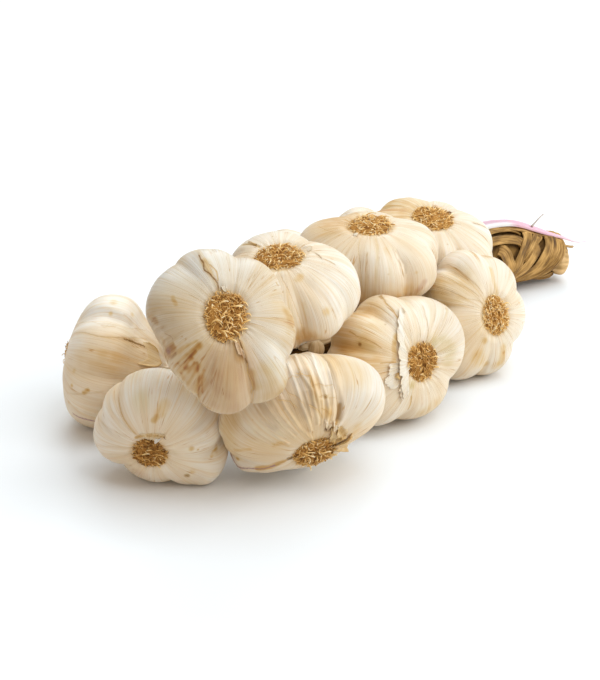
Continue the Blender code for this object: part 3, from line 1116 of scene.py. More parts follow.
@dataclass(frozen=True)
class BulbSkin:
    """The whole skin of a bulb as one closed surface."""

    bulb: Bulb
    plait: Plait
    root_rows: int = 84
    shoulder_rows: int = 52
    neck_rows: int = 20
    vein_height: float = 0.10
    rib_height: float = 0.26
    lobe_height: float = 0.2
    crease_depth: float = 0.28  # of the valleys between the cloves
    fold_depth: float = 0.9  # of the folds that gather into the neck
    pleat_height: float = 0.6  # of the pleats round the roots

    FAR = 99.0  # crack widths, for a place with no crack near it
    MARKING = 1.2  # power of a mark's tint at its full strength
    SPECKS_SEED = 500
    SPECK_TINTS = (Tint.STAIN, Tint.BROWN, Tint.TAN)

    @property
    def noise(self) -> Noise:
        """The bulb's own noise."""
        return Noise(self.bulb.look.seed)

    def all_marks(self) -> list[Mark | Crack]:
        """Adds random specks to the bulb's marks.

        Returns:
            All of them.
        """
        chance = np.random.default_rng(self.bulb.look.seed + self.SPECKS_SEED)
        marks = list(self.bulb.look.marks)
        for _ in range(self.bulb.look.specks):
            place = (chance.uniform(0, 360), chance.uniform(0.35, 1.6))
            tint = self.SPECK_TINTS[chance.integers(3)]
            marks.append(Mark((place,), chance.uniform(0.25, 0.7), tint, chance.uniform(0.25, 0.6)))
        return marks

    def grids(self) -> tuple[Array, Array]:
        """Lays the surface's points out ring by ring, from the roots to the neck.

        Returns:
            (phi, station) of each.
        """
        stations = np.concatenate((
            np.linspace(0.02, 1, self.root_rows, endpoint=False),
            np.linspace(1, 2, self.shoulder_rows, endpoint=False),
            np.linspace(2, 3, self.neck_rows),
        ))
        phi, station = np.meshgrid(circle(self.bulb.look.columns), stations)
        return phi, station

    def relief(self, skin: FlatSkin) -> Array:
        """How far the veins, the lumps of the cloves and the folds of the neck stand out.

        A shallow hollow is pressed in round the roots, with pleats that run into it. Each pattern
        reads the noise at its own distance along, so that none lines up with another.

        Args:
            skin: Where the places are.

        Returns:
            Millimetres along the normal.
        """
        bulb, noise = self.bulb, self.noise
        phi, station, radii = skin.phi, skin.station, skin.radii
        veins = noise.round_and_along(phi, radii, 150, 1.1) - 0.5
        ribs = noise.round_and_along(phi, radii + 40, 46, 0.6) - 0.5
        lumps = noise.round_and_along(phi, radii + 80, 9, 1.6) - 0.5
        folds = np.abs(2 * noise.round_and_along(phi, radii + 120, 26, 0.5) - 1)
        body, gathered = ramp(station, 0.12, 0.5), ramp(station, 1.35, 2.0)
        bulge, strength = bulb.bulge(phi), bulb.strength(station)
        lobes = self.lobe_height * (bulge - bulb.MEAN_BULGE) * strength
        creases = self.crease_depth * np.exp(-((bulge / 0.30) ** 2)) * strength * (1.0 + 1.2 * lumps)
        total = body * (self.vein_height * veins + self.rib_height * ribs + lumps) + lobes - creases
        total = total - gathered * self.fold_depth * (1 - folds) ** 3
        total = total + bulb.look.sleeve * ramp(station, 1.35, 1.65) * (1 - ramp(station, 2.3, 2.8))

        beside = bulb.from_roots(phi, skin.out)
        hollow = 1 - ramp(beside, -1.0, bulb.HOLLOW_WIDTH)
        pleats = noise.round_and_along(phi, radii * 0.5 + 300, 74, 0.6) - 0.5
        total = total - (station < 1) * bulb.HOLLOW * hollow
        pleated = (1 - ramp(beside, 0, 9)) * ramp(station, 0.05, 0.2)
        total = total + self.pleat_height * pleats * pleated
        if bulb.look.wrinkled:
            total = total + self.wrinkles(skin)
        return total

    def wrinkles(self, skin: FlatSkin) -> Array:
        """Ridges and cross wrinkles of the loose skin, on the lines where noise is at its middle.

        Args:
            skin: Where the places are.

        Returns:
            Millimetres along the normal.
        """
        low, high, height = self.bulb.look.wrinkled
        middle, half = math.radians((low + high) / 2), math.radians((high - low) / 2)
        phi, station, radii, noise = skin.phi, skin.station, skin.radii, self.noise
        off = np.abs(turned(phi, middle)) / half
        within = (1 - ramp(off, 0.75, 1.05)) * ramp(station, 0.28, 0.5) * (1 - ramp(station, 1.25, 1.6))
        long_ridges = 1 - np.abs(2 * noise.round_and_along(phi, radii + 7, 44, 0.9) - 1)
        cross = 1 - np.abs(2 * noise.round_and_along(phi, radii + 17, 30, 8.0) - 1)
        return within * height * (0.9 * long_ridges**3 + 0.30 * cross**4)

    def colour(self, skin: FlatSkin) -> Array:
        """The skin's own colour, before its marks.

        Patches and strips of noise go from cream to pale. The root end, the neck and a ring of straw
        round the roots are browner, and the valleys between the cloves get a painted warm shade.

        Args:
            skin: Where the places are.

        Returns:
            Red, green and blue of each place.
        """
        noise, look = self.noise, self.bulb.look
        phi, station, radii = skin.phi, skin.station, skin.radii
        patches = noise.round_and_along(phi, radii + 160, 7, 1.4)
        strips = noise.round_and_along(phi, radii + 200, 40, 0.5)
        near_root = 1 - ramp(station, 0.22, 0.75)
        straw = noise.round_and_along(phi, radii * 0.5 + 420, 34, 6.0)
        beside = self.bulb.from_roots(phi, skin.out) + 2.2 * (straw - 0.5)
        straw_ring = (station < 1) * (1 - ramp(beside, 0.6, 2.6))
        valley = 1 - ramp(self.bulb.bulge(phi), 0.05, 0.5)
        neck = ramp(station, 1.6, 2.3)
        colour = mix(Tint.CREAM.rgb, Tint.PALE.rgb, ramp(patches + 0.9 * (strips - 0.5), 0.30, 0.75))
        warm = 0.30 * look.warmth + 0.5 * look.warmth * ramp(patches, 0.55, 0.25)
        warm = warm + 0.30 * ramp(strips, 0.55, 0.85)
        colour = mix(colour, Tint.WARM.rgb, np.clip(warm, 0, 0.8))
        colour = mix(colour, Tint.WARM.rgb, 0.28 * near_root)
        # painted shade: the valleys between the cloves are tinted warmer and darker
        colour = mix(colour, Tint.WARM.rgb, 0.16 * valley * ramp(station, 0.4, 0.8))
        colour = mix(colour, Tint.TAN.rgb, 0.55 * straw_ring * (0.5 + straw))
        return mix(colour, Tint.TAN.rgb, 0.45 * neck) * look.shade

    def surface(self, phi: Array, station: Array) -> tuple[Array, dict[str, Array]]:
        """The relief of the skin and what its finish reads, its marks and cracks included.

        Args:
            phi: Angles round the bulb.
            station: Stations along it.

        Returns:
            (millimetres proud of the smooth bulb, layers). The layer "crack" holds the distance
            from the nearest crack in its widths, once with its side and once without, and its
            strength; "crack_colour" holds its colour.
        """
        bulb, noise = self.bulb, self.noise
        skin = FlatSkin(bulb, phi, station)
        edge = 0.6 * noise.round_and_along(phi, skin.radii + 240, 200, 2.5)
        edge = ramp(edge + 0.4 * noise.round_and_along(phi, skin.radii + 260, 60, 9.0), 0.25, 0.75)
        proud, colour = self.relief(skin), self.colour(skin)
        crack = packed(0.0 * phi + self.FAR, self.FAR, 0.0)
        crack_colour = np.ones((*phi.shape, 4))
        for mark in self.all_marks():
            if isinstance(mark, Crack):
                off = mark.distance(skin)
                widths = off / mark.width
                found = packed(widths, np.abs(widths), mark.strength)
                nearer = (found[..., 1] < crack[..., 1])[..., None]
                crack = np.where(nearer, found, crack)
                crack_colour = np.where(nearer, (*mark.tint.value, 1.0), crack_colour)
                proud = proud + mark.step * ramp(off, -0.3, 0.3) * (1 - ramp(np.abs(off), 1.0, 5.0))
            else:
                cover = mark.cover(skin, edge)
                share = (self.MARKING * mark.strength * cover)[..., None]
                colour = colour * (mark.tint.rgb / Tint.PALE.rgb) ** share
                proud = proud - cover * mark.depth
        opaque = np.concatenate((colour, np.ones_like(phi)[..., None]), -1)
        layers = {"colour": opaque, "veins": bulb.vein_layer(phi, station)}
        return proud, layers | {"crack": crack, "crack_colour": crack_colour}

    def build(self, finish: Material) -> Object:
        """Makes the piece.

        Args:
            finish: Its material.

        Returns:
            Its object.
        """
        bulb = self.bulb
        phi, station = self.grids()
        proud, layers = self.surface(phi, station)
        points = closed_points(bulb.skin(phi, station, self.plait, proud))
        layers = {name: closed_points(values) for name, values in layers.items()}
        piece = Piece(f"skin_{bulb.name}", points, closed_faces(*phi.shape), layers)
        return piece.build(finish, "bulb_skin", f"bulb_{bulb.name}")


@dataclass(frozen=True)
class SkinFlaps:
    """All the torn skins of one bulb, as one piece with a thin wall."""

    skin: BulbSkin
    finest: float = 0.35  # mm between the points of an edge
    rows: int = 20
    sunk: float = 0.6  # of the held edge, under the skin
    thickness: float = 0.14

    SEEDS_APART = 17

    def flap(self, number: int, flap: Flap) -> Piece:
        """One flap.

        Across it u goes along the free edge, and v goes from 0 where it is held to 1 at that
        edge. The edge's station goes in and out by noise on u, more finely torn near 1, and
        the lift off the skin's own relief grows as v squared times a wave along the edge.

        Args:
            number: Its place among the bulb's flaps.
            flap: The flap.

        Returns:
            The open sheet.
        """
        bulb = self.skin.bulb
        degrees, stations = np.array(flap.edge, float).T
        degrees = np.unwrap(degrees, period=360)
        out, _ = bulb.outline(stations)
        steps = np.hypot(np.radians(np.diff(degrees)) * out[1:], np.diff(bulb.along(stations)))
        places = np.concatenate(([0.0], np.cumsum(steps)))
        columns = int(places[-1] / self.finest) + 8
        at = np.linspace(0, places[-1], columns)
        v, u = np.meshgrid(np.linspace(0, 1, self.rows), at, indexing="ij")
        noise = Noise(bulb.look.seed * self.SEEDS_APART + number)
        tear = 0.55 * noise.at(u * 0.45, 0, 0) + 0.30 * noise.at(u * 1.3, 5, 0)
        tear = tear + 0.15 * noise.at(u * 3.1, 7, 0) - 0.5
        edge = np.interp(u, places, stations) + 2 * flap.torn * tear * np.sign(flap.reach)
        side = np.minimum(1, np.minimum(u, places[-1] - u) / min(1.5, places[-1] / 3))
        station = edge + flap.reach * (1 - v * (0.25 + 0.75 * side**0.5))
        sway = noise.at(v * 5, 9, u * 0.1) - 0.5
        phi = np.radians(np.interp(u, places, degrees)) + 0.03 * sway * (1 - side)
        wave = noise.at(u * 0.35, v * 2, 3)
        lift = flap.lift[0] + (flap.lift[1] - flap.lift[0]) * v**2 * (1 + flap.curl * (2 * wave - 1))
        lift = lift - self.sunk * (1 - ramp(v, 0.0, 0.22))
        proud, layers = self.skin.surface(phi % TURN, station)
        points = bulb.skin(phi, station, self.skin.plait, proud + lift)
        colour = mix(layers["colour"][..., :3], flap.tint.rgb, flap.share * (0.8 + 0.4 * wave))
        colour = mix(colour, Tint.STAIN.rgb, flap.browned * ramp(v, 0.86, 1.0) * ramp(wave, 0.2, 0.7))
        layers["colour"][..., :3] = colour
        layers["crack"][..., :2] += self.skin.FAR
        faces = grid_faces(self.rows, columns, False)
        if (degrees[-1] > degrees[0]) != (flap.reach < 0):
            faces = [face[::-1] for face in faces]
        layers = {name: values.reshape(-1, values.shape[-1]) for name, values in layers.items()}
        return Piece("flap", points.reshape(-1, 3), faces, layers)

    def build(self, finish: Material) -> Object:
        """Makes the piece.

        Args:
            finish: Its material.

        Returns:
            Its object.
        """
        parts = [self.flap(number + 1, flap) for number, flap in enumerate(self.skin.bulb.look.flaps)]
        piece = joined(f"flakes_{self.skin.bulb.name}", parts).build(finish, "bulb_skin")
        wall = piece.modifiers.new("wall", "SOLIDIFY")
        wall.thickness = self.thickness * MM
        wall.offset = 1.0
        return piece


@dataclass(frozen=True)
class RootTuft:
    """The trimmed roots of one bulb: short curly strands matted over a low mound."""

    bulb: Bulb
    strands: int = 620
    fringe: int = 120  # of them, thin ones that lie outwards round the edge
    fringe_at: tuple = (0.97, 1.06)  # where they set off, as a share of the plate's radius
    rise: tuple = (35, 88)  # degrees out of the plate, where a strand sets off
    fall: tuple = (40, 150)  # degrees by which it bends down again
    rings: int = 7
    sides: int = 4
    mound_height: float = 1.1
    highest: float = 3.4
    length: tuple = (2.0, 5.4)
    long_length: tuple = (5.5, 9)
    thickness: tuple = (0.15, 0.50)
    long_thickness: float = 0.40
    heading: tuple = (0.5, 1.1)  # mean and spread, in radians from straight outwards
    long_heading: tuple = (2.6, 0.5)
    fringe_heading: tuple = (0.2, 0.5)
    bend: tuple = (0, 1.5)  # mean and spread of the radians by which a strand turns
    long_bend: tuple = (1.2, 0.5)
    shades: tuple = (0.15, 1.05)
    long_shade: float = 0.98
    matted_shade: float = 0.90
    mound_rows: int = 14
    mound_columns: int = 48

    STRANDS_SEED = 900
    MOUND_SEED = 31

    @property
    def floor(self) -> float:
        """Height of the root plate's edge in the bulb's own frame."""
        bulb = self.bulb
        return -bulb.radius * bulb.ROOT_SIDE_HEIGHT + bulb.HOLLOW

    def strand_lines(self, chance: np.random.Generator) -> tuple[Array, Array, Array, Array, Array]:
        """The strands' lines in the bulb's own frame, where roots point down its -Z.

        A strand sets off from the mound with a heading in the plate's plane and a rise out of
        it. Its heading turns and its rise falls evenly as it goes, and its line is the sum of
        its steps. One that would leave the plate is drawn back towards its edge.

        Args:
            chance: Source of the random numbers.

        Returns:
            (points (strands, rings, 3), and for each strand its share of the way out, how matted
            it is, whether it is long and whether it belongs to the fringe).
        """
        count, bulb = self.strands, self.bulb
        share = np.sqrt(chance.random(count))
        is_fringe = np.arange(count) >= count - self.fringe
        share = np.where(is_fringe, chance.uniform(*self.fringe_at, count), share)
        angle = chance.uniform(0, TURN, count)
        reach = bulb.plate * 0.97 * share * self.unevenness(angle)
        is_long = np.arange(count) < bulb.look.long_strands
        heading = angle + chance.normal(*self.heading, count)
        heading = np.where(is_long, chance.normal(*self.long_heading, count), heading)
        heading = np.where(is_fringe, angle + chance.normal(*self.fringe_heading, count), heading)
        rise = np.radians(chance.uniform(*self.rise, count)) * (1 - 0.45 * share**2)
        rise = np.where(is_fringe, 0.45 * rise, rise)
        fall = np.radians(chance.uniform(*self.fall, count))
        length = chance.uniform(*self.length, count) * (1 - 0.25 * share)
        length = np.where(is_fringe, 0.62 * length, length)
        length = np.where(is_long, chance.uniform(*self.long_length, count), length)
        bend = chance.normal(*self.bend, count)
        bend = np.where(is_long, chance.normal(*self.long_bend, count), bend)
        s = np.linspace(0, 1, self.rings)
        turning = heading[:, None] + bend[:, None] * s
        rising = rise[:, None] - fall[:, None] * s
        level = np.cos(rising)
        steps = np.stack((level * np.cos(turning), level * np.sin(turning), -np.sin(rising)), -1)
        steps = steps * (length / (self.rings - 1))[:, None, None]
        matted = np.zeros(count)
        if bulb.look.matted is not None:
            towards = np.cos(angle - math.radians(bulb.look.matted))
            matted = ramp(towards, 0.35, 0.8) * ramp(share, 0.45, 0.75) * ~is_long
        base_height = self.floor - self.mound_height * (1 - share**2) * 0.6 + 0.3 - 1.2 * matted
        base = np.stack((reach * np.cos(angle), reach * np.sin(angle), base_height), -1)
        line = base[:, None] + np.cumsum(steps, axis=1) - steps[:, :1]
        out = np.hypot(line[..., 0], line[..., 1])
        edge = bulb.plate * self.fringe_at[1]
        kept = np.where(out > edge, edge + (out - edge) * 0.45, out) / np.maximum(out, 1e-6)
        line[..., :2] *= kept[..., None]
        line[..., 2] = np.clip(line[..., 2], self.floor - self.highest, self.floor - 0.1)
        return line, share, matted, is_long, is_fringe

    def strand_rings(self, chance: np.random.Generator) -> tuple[Array, Array]:
        """The strands as tubes round their lines, thinner towards their free ends.

        Args:
            chance: Source of the random numbers.

        Returns:
            (points (strands, rings, sides, 3), shade of each strand).
        """
        count = self.strands
        line, share, matted, is_long, is_fringe = self.strand_lines(chance)
        along = unit(np.gradient(line, axis=1))
        first = unit(np.cross(along, (0.31, 0.17, 0.94)))
        second = np.cross(along, first)
        thin, thick = self.thickness
        taper = 1 - 0.45 * np.linspace(0, 1, self.rings) ** 2
        girth = (thin + (thick - thin) * chance.random(count) ** 2.2)[:, None] * taper
        girth = np.where(is_long[:, None], self.long_thickness * taper, girth)
        girth = girth * (np.where(is_fringe, 0.6, 1.0) * (1 - 0.45 * matted))[:, None]
        theta = circle(self.sides)
        ring = np.cos(theta)[:, None] * first[..., None, :]
        ring = ring + np.sin(theta)[:, None] * second[..., None, :]
        shade = chance.normal(self.bulb.look.straw, 0.27, count) + 0.06 * share
        shade = np.clip(shade, *self.shades)
        shade = np.where(is_long, self.long_shade, shade + (self.matted_shade - shade) * 0.8 * matted)
        return line[:, :, None] + girth[..., None, None] * ring, shade

    def unevenness(self, angle: Array) -> Array:
        """How far the roots reach: a little less than their plate, with three sines round it.

        Args:
            angle: Radians round the bulb.

        Returns:
            Shares of the plate's radius.
        """
        seed = self.bulb.look.seed
        waves = 0.07 * np.sin(2 * angle + seed) + 0.05 * np.sin(3 * angle + 2 * seed)
        return 0.95 + waves + 0.03 * np.sin(7 * angle + seed)

    def build(self, finish: Material) -> Object:
        """Makes the piece.

        Args:
            finish: Its material.

        Returns:
            Its object.
        """
        bulb = self.bulb
        chance = np.random.default_rng(bulb.look.seed + self.STRANDS_SEED)
        rings, shade = self.strand_rings(chance)
        ends = np.stack((rings[:, 0].mean(1), rings[:, -1].mean(1)), 1)
        points = np.concatenate((rings.reshape(self.strands, -1, 3), ends), 1)
        each = points.shape[1]
        faces = np.array(grid_faces(self.rings, self.sides, True))
        fans = np.array(closed_faces(self.rings, self.sides)[len(faces):])
        starts = np.arange(self.strands)[:, None, None] * each
        faces = (faces + starts).reshape(-1, 4).tolist() + (fans + starts).reshape(-1, 3).tolist()
        along = np.concatenate((np.repeat(np.linspace(0, 1, self.rings), self.sides), (0, 1)))
        # painted shade: each strand is darker towards the mound, where the strands shade one another
        shades = shade[:, None] * (0.28 + 0.82 * along**0.8)
        local = Piece("strands", points.reshape(-1, 3), faces, {"shade": shades.ravel()})
        both = joined(f"root_strands_{bulb.name}", [local, self.mound()])
        right, up, wide, high = bulb.look.tuft
        both.points = both.points * (wide, high, 1) + (right, up, 0)
        both.points = np.array(bulb.middle) + both.points @ bulb.turn.T
        both.points[:, 2] = np.maximum(both.points[:, 2], 0.0)
        return both.build(finish, "roots", f"roots_{bulb.name}")

    def mound(self) -> Piece:
        """The low mound under the strands: half a flat globe, lumpy with noise.

        Returns:
            The mound in the bulb's own frame.
        """
        polar = np.linspace(0.06, 1, self.mound_rows)[:, None] * math.pi / 2
        theta = circle(self.mound_columns)[None]
        reach = self.bulb.plate * 0.95 * np.sin(polar) * self.unevenness(theta)
        x, y = reach * np.cos(theta), reach * np.sin(theta)
        lumps = Noise(self.bulb.look.seed + self.MOUND_SEED).at(x * 0.8, y * 0.8, 0)
        height = self.mound_height * np.cos(polar) * (0.5 + lumps)
        points = np.stack((x, y, self.floor - height), -1)
        points[-1, :, 2] = self.floor + 1.5
        faces = [face[::-1] for face in closed_faces(self.mound_rows, self.mound_columns)]
        # painted shade: the mound is dark, for the shade in the gaps between the strands
        shades = closed_points((0.08 + 0.30 * lumps)[..., None])[:, 0]
        return Piece("mound", closed_points(points), faces, {"shade": shades})


# ---------------------------------------------------------------- dried stems


@dataclass(frozen=True)
class StemStrand:
    """One strand of the plait: a bundle of dried leaves, folded lengthwise."""

    plait: Plait
    number: int
    rings: int = 260
    sides: int = 48

    SEED = 70

    def build(self, finish: Material) -> Object:
        """Makes the piece. Its path swings once a wave sideways and twice up and down, as sines.

        Args:
            finish: Its material.

        Returns:
            Its object.
        """
        plait = self.plait
        distance = np.linspace(0, plait.length, self.rings)
        middle, _, sideways, up = plait.place(distance)
        phase = TURN * (distance / plait.wave + self.number / 3)
        size = plait.strand_radius * plait.fullness(distance)
        side = (plait.swing * np.sin(phase) * size)[:, None]
        rise = (plait.lift * np.sin(2 * phase) * size)[:, None]
        line = middle + sideways * side + up * rise
        theta = circle(self.sides)
        noise = Noise(self.SEED + self.number)
        spiral = theta[None] + distance[:, None] * 0.018
        folds = 1 - np.abs(2 * noise.round_and_along(spiral, distance[:, None] / 30, 13, 1.0) - 1)
        radius = size[:, None] * (0.80 + 0.24 * folds**0.7)
        ends = np.minimum(1, np.minimum(np.arange(self.rings), np.arange(self.rings)[::-1]) / 3)[:, None]
        radius = radius * (0.4 + 0.6 * ends)
        section = np.stack((radius * np.cos(theta), radius * np.sin(theta)), -1)
        outward = np.cross(unit(np.gradient(line, axis=0)), sideways)
        piece = tube(line, sideways, outward, section, self.number, f"leaves_{self.number + 1}")
        return piece.build(finish, "dry_stem", f"strand_{self.number + 1}")


@dataclass(frozen=True)
class LeafBand:
    """A flattened leaf that lies round the end of the plait.

    Attributes:
        route: (distance along the plait as a share of its length, degrees round it from its far
            side over its top, millimetres clear of it) of each place it passes.
        width: Half its width, in millimetres.
        thickness: Half its thickness.
        number: Tells its fibres from those of the other bands.
        bow: How much its edges curl outwards, as a share of its width.
    """

    route: tuple
    width: float
    thickness: float
    number: int
    bow: float = 0.12

    RINGS = 90
    SIDES = 28
    SEED = 300

    def piece(self, plait: Plait) -> Piece:
        """The band's mesh: a lens section, its edges bowed outwards, with pleats along it.

        Args:
            plait: What it lies round.

        Returns:
            The closed band.
        """
        share, degrees, clear = catmull_rom(self.route, self.RINGS - 1).T
        line = plait.outside(share * plait.length, np.radians(degrees), clear)
        middle = plait.place(share * plait.length)[0]
        along = unit(np.gradient(line, axis=0))
        across = unit(np.cross(along, line - middle))
        outward = np.cross(across, along)
        theta = circle(self.SIDES)[None]
        s = np.linspace(0, 1, self.RINGS)[:, None]
        noise = Noise(self.SEED + self.number)
        pleats = noise.at(np.cos(theta) * 3.2, s * 5, 0) - 0.5
        swell = 0.85 + 0.3 * noise.at(s * 7, 3, 0)
        taper = np.minimum(1, np.minimum(s, 1 - s) * 9 + 0.25)
        x = self.width * taper * swell * np.cos(theta)
        y = self.thickness * taper * np.sin(theta) + self.bow * self.width * np.cos(theta) ** 2
        y = y + self.thickness * 1.1 * pleats * (np.sin(theta) > 0)
        return tube(line, across, outward, packed(x, y), self.number)


@dataclass(frozen=True)
class WoundLeaves:
    """The leaf ends wound and woven round the tip of the plait, over a folded core painted near-black as
    shade.

    Attributes:
        woven: (half width, half thickness, route) of each leaf that shows. The routes are for
            the near side. Each leaf has its twin on the far side.
    """

    plait: Plait
    first: float = 0.785
    last: float = 0.995
    core_clear: tuple = (2.2, 3.9)
    rows: int = 120
    columns: int = 144
    twin_shift: float = 0.012
    woven: tuple = (
        (2.6, 0.9, ((0.79, 103, 3.4), (0.83, 102, 4.6), (0.87, 101, 4.9), (0.905, 101, 4.3),
                    (0.925, 104, 2.4))),
        (2.7, 1.1, ((0.8, 125, 3.6), (0.84, 124, 4.6), (0.88, 128, 4.9), (0.905, 134, 4.4),
                    (0.915, 142, 2.2))),
        (4.4, 0.8, ((0.845, 136, 1.5), (0.855, 150, 3.8), (0.86, 172, 4.2), (0.865, 195, 4.0),
                    (0.875, 225, 2.4))),
        (3.4, 0.9, ((0.8, 162, 2.6), (0.83, 178, 3.8), (0.84, 204, 3.6), (0.85, 236, 2.2))),
        (2.9, 1.0, ((0.945, 84, 2.4), (0.935, 104, 4.6), (0.925, 130, 5.0), (0.9, 162, 4.8),
                    (0.88, 190, 4.2), (0.865, 222, 2.4))),
        (2.8, 0.9, ((0.968, 88, 3.0), (0.964, 112, 4.8), (0.944, 134, 4.6), (0.946, 152, 4.8),
                    (0.922, 184, 5.0), (0.895, 206, 4.2), (0.87, 238, 2.4))),
        (2.0, 0.8, ((0.975, 94, 3.0), (0.955, 117, 5.6), (0.935, 139, 6.0), (0.918, 160, 5.4),
                    (0.905, 178, 2.6))),
        (3.0, 0.9, ((0.987, 84, 3.0), (0.989, 112, 4.6), (0.98, 148, 5.0), (0.957, 184, 5.0),
                    (0.925, 214, 4.6), (0.9, 236, 3.6), (0.88, 262, 2.4))),
        (2.6, 0.9, ((1.003, 80, 2.6), (1.004, 114, 4.4), (0.996, 150, 5.0), (0.974, 188, 5.2),
                    (0.944, 216, 4.8), (0.91, 242, 4.2), (0.89, 264, 2.4))),
        (2.6, 0.9, ((1.016, 84, 1.0), (1.018, 118, 3.6), (1.01, 158, 4.4), (0.988, 192, 4.8),
                    (0.955, 222, 4.6), (0.92, 250, 4.2), (0.89, 276, 2.4))),
        (4.0, 0.9, ((0.86, 246, 2.8), (0.9, 250, 3.8), (0.95, 246, 4.2), (0.99, 238, 4.0),
                    (1.015, 228, 2.0))),
        (4.0, 0.9, ((0.8, 84, 3.2), (0.85, 84, 4.2), (0.9, 84, 4.8), (0.95, 84, 4.8), (0.99, 86, 4.0),
                    (1.015, 92, 1.6))),
    )

    SEED = 61
    BOW = 0.16
    TWIN_NUMBER = 30
    CORE_NUMBER = 20

    def core(self) -> Piece:
        """The folded leaves under the others: folds of noise lean round the plait as they run along it.

        Returns:
            The closed core.
        """
        share = np.linspace(self.first, self.last, self.rows)[:, None]
        theta = circle(self.columns)[None]
        distance = share * self.plait.length + 0 * theta
        leaning = theta + distance / 22
        folds = np.abs(2 * Noise(self.SEED).round_and_along(leaning, distance / 26, 15, 1.0) - 1) ** 0.7
        low, high = self.core_clear
        closing = 1 - np.minimum(1, np.minimum(share - self.first, self.last - share) / 0.012)
        clear = low + (high - low) * folds - 6.0 * closing**2
        points = closed_points(self.plait.outside(distance, theta + 0 * distance, clear))
        fibre = packed(leaning / TURN, distance, self.CORE_NUMBER)
        return Piece("inner_leaves", points, closed_faces(*clear.shape), {"fibre": closed_points(fibre)})

    def bands(self) -> list[LeafBand]:
        """Lays out the woven leaves and their twins.

        Returns:
            The leaves of both sides.
        """
        bands = []
        for number, (width, thickness, route) in enumerate(self.woven):
            bands.append(LeafBand(route, width, thickness, number, self.BOW))
            twin = tuple((share + self.twin_shift, 180 - degrees, clear) for share, degrees, clear in route)
            bands.append(LeafBand(twin, width, thickness, number + self.TWIN_NUMBER, self.BOW))
        return bands

    def build(self, finish: Material, inner: Material) -> Object:
        """Makes the leaves, and the core as a piece of its own.

        Args:
            finish: Of the leaves.
            inner: Of the core, painted near-black as shade.

        Returns:
            The leaves.
        """
        self.core().build(inner, "dry_stem")
        piece = joined("woven_leaves", [band.piece(self.plait) for band in self.bands()])
        return piece.build(finish, "dry_stem", "wound_leaves")


@dataclass(frozen=True)
class HollowLeaves:
    """What fills the hollow between the near bulbs: dry leaves and the cut end of an old stem.

    Attributes:
        dark: Route, half width and half thickness of the dark leaf behind, in laid-out millimetres. It is a
            near-black sheet that paints the shade of the hollow.
        pale: The same of the pale leaf over it.
        cut: Middle and half sizes of the cut stem's rounded end.
        faces: The way the leaves' flat sides face.
    """

    dark: tuple = (
        ((-72.3, -4.8, 32.2), (-67.2, -10.6, 33.5), (-60.7, -15.4, 33.5), (-49.9, -16.0, 32.3)), 5.5, 1.0,
    )
    pale: tuple = (
        ((-72.9, -11.3, 36.9), (-68.4, -16.3, 38.2), (-60.6, -18.9, 38.7), (-48.2, -18.3, 37.1)), 1.9, 1.2,
    )
    cut: tuple = ((-73.5, -22.4, 40.0), (3.9, 3.6, 3.9))
    faces: tuple = (0.545, -0.724, 0.42)
    rings: int = 60
    sides: int = 40

    LEAF_SEED = 400
    CUT_SEED = 410
    DARK_NUMBER, PALE_NUMBER, CUT_NUMBER = 41, 42, 43

    def leaf(self, route: tuple, width: float, thickness: float, number: int) -> Piece:
        """A lens section on a path through the hollow, pleated by noise that runs along it.

        Args:
            route: Places that it passes.
            width: Half its width.
            thickness: Half its thickness.
            number: Tells its fibres and its pleats from another's.

        Returns:
            The closed leaf.
        """
        line = catmull_rom(route, self.rings - 1)
        along = unit(np.gradient(line, axis=0))
        across = unit(np.cross(along, self.faces))
        theta = circle(self.sides)[None]
        s = np.linspace(0, 1, self.rings)[:, None]
        pleats = Noise(self.LEAF_SEED + number).at(np.cos(theta) * 4, s * 3, 0) - 0.5
        taper = np.minimum(1, np.minimum(s, 1 - s) * 8 + 0.2)
        x, y = width * taper * np.cos(theta), thickness * (taper * np.sin(theta) + 1.4 * pleats)
        section = packed(x, y)
        return tube(line, across, np.cross(across, along), section, number, "hollow_leaf")

    def cut_stem(self) -> Piece:
        """The cut end of the stem: a pleated globe, squared off at its top.

        Returns:
            The closed globe.
        """
        middle, (wide, deep, high) = self.cut
        polar = np.linspace(0.04, 0.96, self.rings)[:, None] * math.pi
        theta = circle(self.sides)[None]
        pleats = Noise(self.CUT_SEED).round_and_along(theta, polar, 14, 0.4)
        out = np.sin(polar) ** 0.7 * (0.88 + 0.24 * pleats)
        line = np.array(middle) + np.array((0, 0, 1.0)) * (-high * np.cos(polar))
        section = np.stack((out * wide * np.cos(theta), out * deep * np.sin(theta)), -1)
        return tube(line, (0.8, -0.6, 0.0), (0.6, 0.8, 0.0), section, self.CUT_NUMBER)

    def build(self, finish: Material, inner: Material) -> Object:
        """Makes the pale leaf and the cut stem, and the dark leaf as a piece of its own.

        Args:
            finish: Of the pale leaf and the cut stem.
            inner: Of the dark leaf, painted near-black as shade.

        Returns:
            The pale ones.
        """
        self.leaf(*self.dark, self.DARK_NUMBER).build(inner, "dry_stem")
        over = [self.leaf(*self.pale, self.PALE_NUMBER), self.cut_stem()]
        return joined("cut_stem", over).build(finish, "dry_stem")


